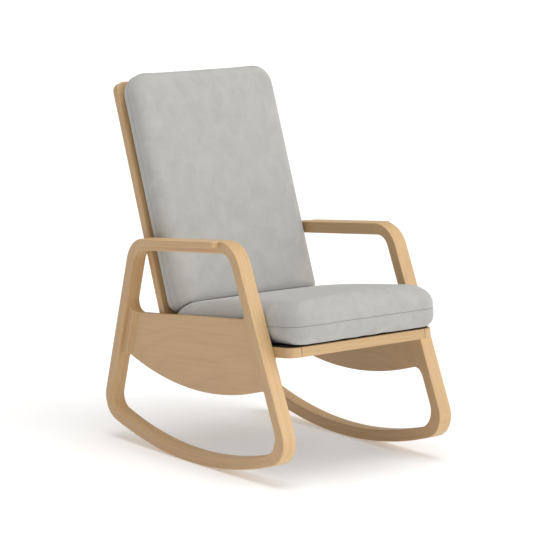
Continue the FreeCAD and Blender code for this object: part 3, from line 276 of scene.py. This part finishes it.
def build_suede_nap():
    """Soft brushed cloth: broad mottling, fine fibres and a short nap."""
    group, tree, given, result = new_group(
        "suede nap",
        [("Vector", VECTOR, None), ("Base", COLOUR, (0.5, 0.49, 0.46, 1)), ("Mottle", NUMBER, 0.5)],
        [("Color", COLOUR), ("Height", NUMBER)])
    place = given["Vector"]
    broad = tree.noise(tree.stretch(place, (1.0, 1.0, 0.75)), 24.0, 3.0, 0.55, 0.6)
    small = tree.noise(place, 70.0, 3.0, 0.6)
    fibres = tree.noise(tree.stretch(place, (1.0, 1.0, 0.4)), 900.0, 2.0, 0.7)
    nap = tree.noise(place, 2600.0, 2.0, 0.7)
    shade = tree.math("MULTIPLY", tree.ramp(broad, 0.32, 0.68, -1.0, 1.0), given["Mottle"])
    shade = tree.math("ADD", tree.math("MULTIPLY", shade, 0.085), 1.0)
    shade = tree.math("ADD", shade, tree.ramp(small, 0.3, 0.7, -0.018, 0.018))
    shade = tree.math("ADD", shade, tree.ramp(fibres, 0.3, 0.7, -0.03, 0.03))
    scaled = tree.node("ShaderNodeVectorMath", operation="SCALE")
    tree.link(given["Base"], scaled.inputs[0])
    tree.link(shade, scaled.inputs["Scale"])
    tree.link(scaled.outputs[0], result["Color"])
    height = tree.math("ADD", tree.math("MULTIPLY", fibres, 0.6), tree.math("MULTIPLY", nap, 0.4))
    tree.link(height, result["Height"])
    return group


# ---------------------------------------------------------------- materials
def new_material(name):
    """A material with its tree, its shader and the piece's own coordinates."""
    material = bpy.data.materials.new(name)
    material.use_nodes = True
    tree = Tree(material.node_tree)
    shader = material.node_tree.nodes["Principled BSDF"]
    coordinates = tree.node("ShaderNodeTexCoord")
    return material, tree, shader, coordinates.outputs["Object"]


def add_bump(tree, shader, height, strength, distance):
    bump = tree.node("ShaderNodeBump")
    bump.inputs["Strength"].default_value = strength
    bump.inputs["Distance"].default_value = distance
    tree.link(height, bump.inputs["Height"])
    tree.link(bump.outputs["Normal"], shader.inputs["Normal"])


def turned_axes(tree, place, slope, across=False):
    """Coordinates whose X runs along a member that climbs toward the rear at this slope."""
    mapping = tree.node("ShaderNodeMapping")
    if not across:
        mapping.inputs["Rotation"].default_value = (-slope, 0.0, -math.pi / 2)
    tree.link(place, mapping.inputs["Vector"])
    return mapping.outputs["Vector"]


def make_beech(name, slope=0.0, across=False, arc=False, figure=0.25, joint=None,
               pale=(0.71, 0.480, 0.246, 1), deep=(0.52, 0.326, 0.158, 1)):
    """Lacquered beech. joint is how far from the middle a glued joint is; the fine line drawn there
    is part glue line and part painted shade of the narrow gap between the pieces.
    """
    material, tree, shader, place = new_material(name)
    own = place
    if arc:
        axes = tree.node("ShaderNodeGroup", node_tree=GROUPS["rocker_axes"])
        tree.link(place, axes.inputs["Vector"])
        place = axes.outputs["Vector"]
    else:
        place = turned_axes(tree, place, slope, across)
    grain = tree.node("ShaderNodeGroup", node_tree=GROUPS["beech_grain"])
    tree.link(place, grain.inputs["Vector"])
    grain.inputs["Pale"].default_value = pale
    grain.inputs["Deep"].default_value = deep
    grain.inputs["Figure"].default_value = figure
    # Faces turned to the sides (±X) get painted shade: their grain colour is darkened by about 15
    # %.
    way = tree.node("ShaderNodeSeparateXYZ")
    tree.link(tree.node("ShaderNodeNewGeometry").outputs["Normal"], way.inputs[0])
    side_shade_mask = tree.ramp(tree.math("ABSOLUTE", way.outputs["X"]), 0.5, 1.0)
    side_shaded_grain = tree.mix(1.0, grain.outputs["Color"], (0.85, 0.83, 0.84, 1), "MULTIPLY")
    colour = tree.mix(side_shade_mask, grain.outputs["Color"], side_shaded_grain)
    # A fine line at a glued joint: part glue line, part painted shade of the gap between the
    # pieces.
    if joint:
        parts = tree.node("ShaderNodeSeparateXYZ")
        tree.link(own, parts.inputs[0])
        off = tree.math("SUBTRACT", tree.math("ABSOLUTE", parts.outputs["X"]), joint)
        glue_and_gap_shade = tree.ramp(tree.math("ABSOLUTE", off), 0.0005, 0.0013, 0.75, 0.0)
        colour = tree.mix(glue_and_gap_shade, colour, (0.09, 0.05, 0.03, 1))
    tree.link(colour, shader.inputs["Base Color"])
    tree.link(grain.outputs["Roughness"], shader.inputs["Roughness"])
    shader.inputs["Coat Weight"].default_value = 0.08
    shader.inputs["Coat Roughness"].default_value = 0.35
    add_bump(tree, shader, grain.outputs["Height"], 0.25, 0.00015)
    return material


def build_seam_line():
    """A seam's line on a plane, as a mask for its painted shade and its dip: Vector dot Way, less
    Level, is its distance.
    """
    group, tree, given, result = new_group(
        "seam line",
        [("Vector", VECTOR, None), ("Way", VECTOR, (0, 0, 1)), ("Level", NUMBER, 0.0),
         ("Width", NUMBER, 0.0011)],
        [("Mask", NUMBER), ("Pucker", NUMBER)])
    place = given["Vector"]
    drift = tree.noise(place, 38.0, 1.0)
    off = tree.math("SUBTRACT", tree.vector("DOT_PRODUCT", place, given["Way"]), given["Level"])
    off = tree.math("ADD", off, tree.ramp(drift, 0.3, 0.7, -0.0005, 0.0005))
    far = tree.math("ABSOLUTE", off)
    mask = tree.math("DIVIDE", far, given["Width"])
    tree.link(tree.ramp(mask, 0.5, 1.2, 1.0, 0.0), result["Mask"])
    crease = tree.noise(tree.stretch(place, (150, 150, 12)), 1.0, 2.0)
    near = tree.ramp(far, 0.0, 0.012, 1.0, 0.0)
    tree.link(tree.math("MULTIPLY", crease, near), result["Pucker"])
    return group


def make_suede(name, base=(0.445, 0.44, 0.418, 1), mottle=0.6, seam=None):
    """Brushed cloth. seam is the way across a seam's plane and the plane's level along it."""
    material, tree, shader, place = new_material(name)
    nap = tree.node("ShaderNodeGroup", node_tree=GROUPS["suede_nap"])
    tree.link(place, nap.inputs["Vector"])
    nap.inputs["Base"].default_value = base
    nap.inputs["Mottle"].default_value = mottle
    colour = nap.outputs["Color"]
    height = nap.outputs["Height"]
    if seam:
        line = tree.node("ShaderNodeGroup", node_tree=GROUPS["seam_line"])
        tree.link(place, line.inputs["Vector"])
        line.inputs["Way"].default_value = seam[0]
        line.inputs["Level"].default_value = seam[1]
        # The seam's crease gets painted shade: the cloth is darkened along the line.
        dark = tree.math("MULTIPLY", line.outputs["Mask"], 0.52)
        colour = tree.mix(dark, colour, (0.10, 0.095, 0.085, 1))
        height = tree.math("ADD", height, line.outputs["Pucker"])
        height = tree.math("SUBTRACT", height, tree.math("MULTIPLY", line.outputs["Mask"], 2.0))
    tree.link(colour, shader.inputs["Base Color"])
    shader.inputs["Roughness"].default_value = 0.95
    shader.inputs["Specular IOR Level"].default_value = 0.2
    shader.inputs["Sheen Weight"].default_value = 0.30
    shader.inputs["Sheen Roughness"].default_value = 0.5
    add_bump(tree, shader, height, 0.35, 0.0005)
    return material


def plane_of(axes, way, level):
    """A plane given on other axes, as its way and level on the chair's own."""
    turned = axes.to_3x3() @ Vector(way)
    scale = turned.length
    return tuple(turned / scale), (level + turned.dot(axes.translation)) / scale


def make_plain_cloth(name, colour, rough=0.95):
    """Coarse woven cloth of one tone, for the deck and the straps."""
    material, tree, shader, place = new_material(name)
    weave = tree.node("ShaderNodeTexWave", wave_type="BANDS", bands_direction="X")
    weave.inputs["Scale"].default_value = 160.0
    tree.link(place, weave.inputs["Vector"])
    cross = tree.node("ShaderNodeTexWave", wave_type="BANDS", bands_direction="Y")
    cross.inputs["Scale"].default_value = 160.0
    tree.link(place, cross.inputs["Vector"])
    woven = tree.math("MULTIPLY", weave.outputs["Fac"], cross.outputs["Fac"])
    tone = tree.ramp(woven, 0.0, 1.0, 0.6, 1.25)
    scaled = tree.node("ShaderNodeVectorMath", operation="SCALE")
    scaled.inputs[0].default_value = colour[:3]
    tree.link(tone, scaled.inputs["Scale"])
    tree.link(scaled.outputs[0], shader.inputs["Base Color"])
    shader.inputs["Roughness"].default_value = rough
    add_bump(tree, shader, woven, 0.5, 0.0004)
    return material


def make_metal(name, colour, rough):
    """Plated steel with a fine brushed break-up."""
    material, tree, shader, place = new_material(name)
    grain = tree.noise(tree.stretch(place, (1, 6, 6)), 900.0, 3.0, 0.6)
    shade = tree.ramp(grain, 0.3, 0.7, 0.88, 1.08)
    scaled = tree.node("ShaderNodeVectorMath", operation="SCALE")
    scaled.inputs[0].default_value = colour[:3]
    tree.link(shade, scaled.inputs["Scale"])
    tree.link(scaled.outputs[0], shader.inputs["Base Color"])
    tree.link(tree.ramp(grain, 0.3, 0.7, rough - 0.06, rough + 0.08), shader.inputs["Roughness"])
    shader.inputs["Metallic"].default_value = 1.0
    return material


GROUPS = {
    "beech_grain": build_beech_grain(),
    "rocker_axes": build_rocker_axes(),
    "suede_nap": build_suede_nap(),
    "seam_line": build_seam_line(),
}
BEECH_ARM = make_beech("beech_arm", slope=-RAKE)
BEECH_FRONT_LEG = make_beech("beech_front_leg", slope=math.pi / 2 - FRONT_LEAN)
BEECH_REAR_LEG = make_beech("beech_rear_leg", slope=math.pi / 2 + REAR_LEAN)
BEECH_ROCKER = make_beech("beech_rocker", arc=True)
BEECH_PANEL = make_beech("beech_panel", slope=-RAKE, figure=0.2)
BEECH_SEAT_SIDE = make_beech("beech_seat_side", slope=-RAKE)
BEECH_CROSS = make_beech("beech_cross", across=True)
BEECH_FRONT_RAIL = make_beech("beech_front_rail", across=True, joint=JOINT_X)
BEECH_CORNER = make_beech("beech_seat_corner", slope=-RAKE, joint=JOINT_X)
BEECH_STILE = make_beech("beech_stile", slope=math.pi / 2 - RECLINE)
DOWEL = make_beech("dowel_beech", slope=0.0, pale=(0.82, 0.66, 0.46, 1))
SEAT_SUEDE = make_suede("seat_grey_suede",
                        seam=plane_of(SEAT_AXES, (0, SEAM_FALL, 1), SEAT_SEAM))
BACK_SUEDE = make_suede("back_grey_suede", seam=plane_of(BACK_AXES, (0, 1, 0), BACK_SEAM))
# Near-black deck cloth; its tone also paints the shade in the narrow gap between the seat cushion
# and the front rail.
DECK_AND_GAP_SHADE = make_plain_cloth("black_deck_cloth_and_gap_shade", (0.012, 0.011, 0.010, 1))
WEBBING = make_plain_cloth("black_webbing", (0.03, 0.03, 0.03, 1))
FOAM = make_suede("cream_foam", base=(0.80, 0.76, 0.62, 1), mottle=0.3)
ZIP_TAPE = make_plain_cloth("grey_zip_tape", (0.40, 0.39, 0.37, 1))
ZIP_COIL = make_plain_cloth("grey_zip_coil", (0.30, 0.295, 0.28, 1), 0.5)
THREAD = make_suede("grey_thread", base=(0.40, 0.395, 0.375, 1), mottle=0.2)
ZIP_METAL = make_metal("nickel_slider", (0.62, 0.61, 0.59), 0.32)
BOLT_STEEL = make_metal("black_oxide_bolt", (0.09, 0.09, 0.10), 0.42)
BRASS = make_metal("plated_insert", (0.62, 0.55, 0.40), 0.38)


def dress(node, material):
    mesh = NODES[node].data
    mesh.materials.clear()
    mesh.materials.append(material)


def dress_frame():
    """Every CAD piece gets the finish of its own part, with the grain along it."""
    for side in ("left", "right"):
        dress(side + "_arm_rail", BEECH_ARM)
        dress(side + "_arm_pad", BEECH_ARM)
        dress(side + "_front_leg", BEECH_FRONT_LEG)
        dress(side + "_rear_leg", BEECH_REAR_LEG)
        dress(side + "_rocker", BEECH_ROCKER)
        dress(side + "_side_panel", BEECH_PANEL)
        dress(side + "_back_stile", BEECH_STILE)
        dress(side + "_seat_rail", BEECH_SEAT_SIDE)
        dress(side + "_seat_corner", BEECH_CORNER)
        dress(side + "_frame_dowels", DOWEL)
        dress(side + "_inserts", BRASS)
        dress(side + "_seat_bolts", BOLT_STEEL)
        dress(side + "_back_bolts", BOLT_STEEL)
    for node in NODES:
        if node.startswith("back_slat"):
            dress(node, BEECH_CROSS)
    for node in ("seat_rear_rail", "back_bottom_rail", "back_top_rail"):
        dress(node, BEECH_CROSS)
    dress("seat_front_rail", BEECH_FRONT_RAIL)
    dress("seat_frame_dowels", DOWEL)
    dress("back_frame_dowels", DOWEL)
    dress("seat_webbing", WEBBING)
    dress("seat_deck_cloth", DECK_AND_GAP_SHADE)
    dress("seat_cushion_core", FOAM)
    dress("seat_cushion_cover", SEAT_SUEDE)
    dress("back_cushion_cover", BACK_SUEDE)
    for name in ("seat_cushion", "back_cushion"):
        dress(name + "_zip_tapes", ZIP_TAPE)
        dress(name + "_zip_slider", ZIP_METAL)


# ---------------------------------------------------------------- cushions
def outer_shell(node, name):
    """A copy of a hollow cover's outer skin, as a new object."""
    skin = bmesh.new()
    skin.from_mesh(NODES[node].data)
    skin.transform(NODES[node].matrix_world)
    bmesh.ops.remove_doubles(skin, verts=skin.verts, dist=0.00001)
    best = None
    left = set(skin.verts)
    while left:
        island = set()
        queue = [left.pop()]
        while queue:
            vert = queue.pop()
            island.add(vert)
            for edge in vert.link_edges:
                other = edge.other_vert(vert)
                if other in left:
                    left.discard(other)
                    queue.append(other)
        spread = max(v.co.x for v in island) - min(v.co.x for v in island)
        if best is None or spread > best[0]:
            best = (spread, island)
    spare = [vert for vert in skin.verts if vert not in best[1]]
    bmesh.ops.delete(skin, geom=spare, context="VERTS")
    bmesh.ops.recalc_face_normals(skin, faces=skin.faces)
    mesh = bpy.data.meshes.new(name)
    skin.to_mesh(mesh)
    skin.free()
    piece = bpy.data.objects.new(name, mesh)
    bpy.context.collection.objects.link(piece)
    return piece


def baked(piece):
    """Replace a piece's mesh by the result of its modifiers, and drop them."""
    depsgraph = bpy.context.evaluated_depsgraph_get()
    mesh = bpy.data.meshes.new_from_object(piece.evaluated_get(depsgraph))
    piece.modifiers.clear()
    piece.data = mesh


def remesh(piece, size):
    modifier = piece.modifiers.new("remesh", "REMESH")
    modifier.mode = "VOXEL"
    modifier.voxel_size = size
    baked(piece)


def inflate(piece, pressure, cap):
    """Blow a closed skin up as cloth, and keep every point within a cap of its start."""
    start = [vert.co.copy() for vert in piece.data.vertices]
    modifier = piece.modifiers.new("cloth", "CLOTH")
    settings = modifier.settings
    settings.quality = 4
    settings.mass = 0.25
    settings.tension_stiffness = 18
    settings.compression_stiffness = 18
    settings.shear_stiffness = 8
    settings.bending_stiffness = 0.4
    settings.use_pressure = True
    settings.uniform_pressure_force = pressure
    settings.effector_weights.gravity = 0.0
    modifier.collision_settings.use_collision = False
    modifier.collision_settings.use_self_collision = False
    modifier.point_cache.frame_start = 1
    modifier.point_cache.frame_end = CLOTH_FRAMES
    scene = bpy.context.scene
    for number in range(1, CLOTH_FRAMES + 1):
        scene.frame_set(number)
    baked(piece)
    scene.frame_set(1)
    for vert, origin in zip(piece.data.vertices, start):
        move = vert.co - origin
        if move.length > cap:
            vert.co = origin + move * (cap / move.length)


def extents(piece, axes):
    """The box round a piece on other axes, as its low and high corners."""
    back = axes.inverted()
    points = [back @ vert.co for vert in piece.data.vertices]
    low = Vector([min(point[k] for point in points) for k in range(3)])
    high = Vector([max(point[k] for point in points) for k in range(3)])
    return low, high


def fitted(piece, axes, low, high):
    """Stretch a piece evenly along each of the axes until it fills a box."""
    now_low, now_high = extents(piece, axes)

    def stretch(place):
        return Vector([low[k] + (place[k] - now_low[k]) * (high[k] - low[k])
                       / (now_high[k] - now_low[k]) for k in range(3)])

    on_axes(piece, axes, stretch)


def eased(value, limit, ease):
    """Keep a value below a limit, easing into it."""
    over = value - (limit - ease)
    if over <= 0:
        return value
    return limit - ease * math.exp(-over / ease)


def relaxed(piece, rounds):
    modifier = piece.modifiers.new("relax", "SMOOTH")
    modifier.factor = 0.5
    modifier.iterations = rounds
    baked(piece)


def finer(piece):
    modifier = piece.modifiers.new("finer", "SUBSURF")
    modifier.levels = 1
    modifier.render_levels = 1
    baked(piece)


def wrinkle(x, y, seed):
    """A smooth, fixed unevenness of stuffed cloth, from -1 to 1."""
    value = math.sin(x * 11 + seed) * math.cos(y * 9 - 0.7 * seed)
    value += 0.5 * math.sin(x * 23 - y * 14 + 2.1 * seed)
    value += 0.35 * math.cos(x * 31 + y * 27 + 0.6 * seed)
    return value / 1.85


def crowned(across, along):
    """How much of the crown a point has, from its offsets as parts of the crown's half sizes."""
    return max(0.0, 1 - across ** 2) ** 0.6 * max(0.0, 1 - along ** 2) ** 0.6


def seam_pull(off):
    """How much of a seam's pull acts at this distance from it."""
    return math.exp(-(off / SEAM_REACH) ** 2)


def held(value, limit, ease):
    """Keep a value within a limit on both sides, easing into it."""
    return math.copysign(eased(abs(value), limit, ease), value)


def shape_seat(place):
    """Seat cushion's final form, on the seat's axes: crown, seam and its neighbours' limits."""
    x, y, z = place
    middle = 0.25
    crown = crowned(x / CROWN_HALF, (y - 0.20) / 0.25)
    if z > 0.06:
        z += SEAT_CROWN * crown + 0.0022 * wrinkle(x, y, 1.3) * crown
    line = SEAT_SEAM - SEAM_FALL * y
    low = min(1.0, max(0.0, (line - z) / 0.05)) ** 2.5
    full = max(0.0, 1 - ((z - line) / 0.055) ** 2)
    swell = 1 + 0.010 * full + 0.07 * low
    x *= swell
    y = middle + (y - middle) * swell
    near = seam_pull(z - line)
    rim = max(abs(x) / 0.25, abs(y - middle) / 0.28)
    if near > 0.01 and rim > 0.8:
        pull = 0.0006 * near
        x -= math.copysign(pull, x) if abs(x) > 0.2 else 0.0
        y += pull if y < 0.02 else 0.0
    free = min(1.0, max(0.0, (FREE_LENGTH - y) / 0.05))
    x *= 1 + 0.010 * free
    x = held(x, SIDE_ROOM + 0.006 * free, 0.004)
    foot = SEAT_FOOT - 0.004 * min(1.0, max(0.0, -y / 0.02))
    z = -eased(-z, -foot, 0.003)
    y = eased(y, SEAT_REAR, 0.006)
    y = -eased(-y, SEAT_FRONT, 0.004)
    return Vector((x, y, z))


def shape_back(place):
    """Back cushion's final form, on the back's axes."""
    x, y, z = place
    crown = crowned(x / CROWN_HALF, (z - 0.44) / 0.34)
    if y < -0.05:
        y -= BACK_CROWN * crown + 0.0024 * wrinkle(x, z, 2.4) * crown
    z += 0.0050 * min(1.0, max(0.0, (z - 0.60) / 0.17))
    near = seam_pull(y - BACK_SEAM)
    if near > 0.01:
        pull = 0.0014 * near
        x -= math.copysign(pull, x) if abs(x) > 0.2 else 0.0
        z -= pull if z > 0.74 else 0.0
    x = held(x, SIDE_ROOM, 0.004)
    y = eased(y, -0.0004, 0.004)
    y = -eased(-y, BACK_FRONT, 0.005)
    z = eased(z, BACK_TOP, 0.004)
    return Vector((x, y, z))


def on_axes(piece, axes, form):
    """Pass every point of a piece through a form given on other axes."""
    back = axes.inverted()
    for vert in piece.data.vertices:
        vert.co = axes @ form(back @ vert.co)


def clear_of(piece, other, gap):
    """Push a piece's points out of another closed piece."""
    tree = BVHTree.FromPolygons([v.co for v in other.data.vertices],
                                [p.vertices for p in other.data.polygons])
    for vert in piece.data.vertices:
        spot, normal, _, _ = tree.find_nearest(vert.co, 0.06)
        if spot is not None and (vert.co - spot).dot(normal) < gap:
            vert.co = spot + normal * gap


def shrunk(piece, amount):
    """Draw a skin in along its own normals."""
    mesh = piece.data
    normals = [vert.normal.copy() for vert in mesh.vertices]
    for vert, normal in zip(mesh.vertices, normals):
        vert.co -= normal * amount


def build_repeats():
    """Small beads at even steps along a path, turned to follow it."""
    group = bpy.data.node_groups.new("beads along a path", "GeometryNodeTree")
    face = group.interface
    face.new_socket("Geometry", in_out="INPUT", socket_type="NodeSocketGeometry")
    wanted = {"Spacing": "NodeSocketFloat", "Bead": "NodeSocketVector",
              "Material": "NodeSocketMaterial"}
    for label, kind in wanted.items():
        face.new_socket(label, in_out="INPUT", socket_type=kind)
    face.new_socket("Geometry", in_out="OUTPUT", socket_type="NodeSocketGeometry")
    tree = Tree(group)
    entry = tree.node("NodeGroupInput").outputs
    leave = tree.node("NodeGroupOutput").inputs
    curve = tree.node("GeometryNodeMeshToCurve")
    tree.link(entry["Geometry"], curve.inputs["Mesh"])
    steps = tree.node("GeometryNodeResampleCurve", mode="LENGTH")
    tree.link(curve.outputs["Curve"], steps.inputs["Curve"])
    tree.link(entry["Spacing"], steps.inputs["Length"])
    bead = tree.node("GeometryNodeMeshUVSphere")
    bead.inputs["Segments"].default_value = 6
    bead.inputs["Rings"].default_value = 4
    bead.inputs["Radius"].default_value = 0.5
    turn = tree.node("FunctionNodeAlignRotationToVector", axis="X")
    tree.link(tree.node("GeometryNodeInputTangent").outputs["Tangent"], turn.inputs["Vector"])
    copies = tree.node("GeometryNodeInstanceOnPoints")
    tree.link(steps.outputs["Curve"], copies.inputs["Points"])
    tree.link(bead.outputs["Mesh"], copies.inputs["Instance"])
    tree.link(turn.outputs["Rotation"], copies.inputs["Rotation"])
    tree.link(entry["Bead"], copies.inputs["Scale"])
    real = tree.node("GeometryNodeRealizeInstances")
    tree.link(copies.outputs["Instances"], real.inputs["Geometry"])
    paint = tree.node("GeometryNodeSetMaterial")
    tree.link(real.outputs["Geometry"], paint.inputs["Geometry"])
    tree.link(entry["Material"], paint.inputs["Material"])
    tree.link(paint.outputs["Geometry"], leave["Geometry"])
    return group


REPEATS = build_repeats()


def beads(name, paths, closed, spacing, bead, material):
    """Beads along one or more paths, as one plain piece."""
    points = [point for path in paths for point in path]
    edges = []
    first = 0
    for path in paths:
        count = len(path)
        for index in range(count if closed else count - 1):
            edges.append((first + index, first + (index + 1) % count))
        first += count
    mesh = bpy.data.meshes.new(name)
    mesh.from_pydata(points, edges, [])
    piece = bpy.data.objects.new(name, mesh)
    bpy.context.collection.objects.link(piece)
    modifier = piece.modifiers.new("beads", "NODES")
    modifier.node_group = REPEATS
    given = {"Spacing": spacing, "Bead": bead, "Material": material}
    for item in REPEATS.interface.items_tree:
        if item.in_out == "INPUT" and item.name in given:
            modifier[item.identifier] = given[item.name]
    baked(piece)
    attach(piece, "root")
    return piece


def round_path(piece, axes, level, spread, steps):
    """Points round a cushion's side at a height that level gives for a distance to the rear."""
    tree = BVHTree.FromPolygons([v.co for v in piece.data.vertices],
                                [p.vertices for p in piece.data.polygons])
    low, high = extents(piece, axes)
    middle = (low + high) / 2
    path = []
    for index in range(steps):
        turn = math.tau * index / steps
        way = Vector((math.cos(turn), math.sin(turn), 0.0))
        rear = middle.y + spread * way.y
        start = Vector((middle.x, middle.y, level(rear))) + way * 0.7
        spot, normal, _, _ = tree.ray_cast(axes @ start, axes.to_3x3() @ -way)
        if spot is not None:
            path.append(spot + normal * 0.0001)
    return path


def add_sewing(seat):
    """Two fine rows of stitches beside the seat cushion's seam."""
    rows = []
    for side in (-1, 1):
        rows.append(round_path(
            seat, SEAT_AXES,
            lambda rear, side=side: SEAT_SEAM - SEAM_FALL * rear + side * 0.0032, 0.28, 360))
    beads("seat_cushion_stitches", rows, True, 0.0036, (0.0026, 0.0006, 0.0006), THREAD)


def add_zip_teeth(cushion, axes):
    """The coil of a zip: a row of small teeth across it, on its tapes."""
    node = NODES[cushion + "_zip_tapes"]
    low, high = extents(node, axes)
    level = (low.z + high.z) / 2
    rows = []
    for side in (-1, 1):
        z = level + side * 0.0011
        rows.append([axes @ Vector((low.x + 0.002, high.y, z)),
                     axes @ Vector((high.x - 0.002, high.y, z))])
    beads(cushion + "_zip_teeth", rows, False, 0.0022, (0.0013, 0.0024, 0.0024), ZIP_COIL)


def make_cushion(node, name, axes, form, material, cap):
    """A cushion's skin, blown up from its cover in the CAD and brought to its final form."""
    cushion = outer_shell(node, name)
    low, high = extents(cushion, axes)
    remesh(cushion, VOXEL)
    shrunk(cushion, 0.004)
    inflate(cushion, 4.0, cap)
    relaxed(cushion, 4)
    fitted(cushion, axes, low, high)
    on_axes(cushion, axes, form)
    finer(cushion)
    cushion.data.materials.clear()
    cushion.data.materials.append(material)
    for polygon in cushion.data.polygons:
        polygon.use_smooth = True
    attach(cushion, "root")
    return cushion


def add_cushions():
    seat = make_cushion("seat_cushion_cover", "seat_cushion_skin", SEAT_AXES, shape_seat,
                        SEAT_SUEDE, 0.008)
    back = make_cushion("back_cushion_cover", "back_cushion_skin", BACK_AXES, shape_back,
                        BACK_SUEDE, 0.005)
    for step in range(3):
        clear_of(back, seat, REST_GAP)
        relaxed(back, 3)
    clear_of(back, seat, REST_GAP)
    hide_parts("seat_cushion_cover", "seat_cushion_core")
    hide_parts("back_cushion_cover")
    add_sewing(seat)
    add_zip_teeth("seat_cushion", SEAT_AXES)
    add_zip_teeth("back_cushion", BACK_AXES)


add_camera()
add_light()
add_floor()
dress_frame()
add_cushions()
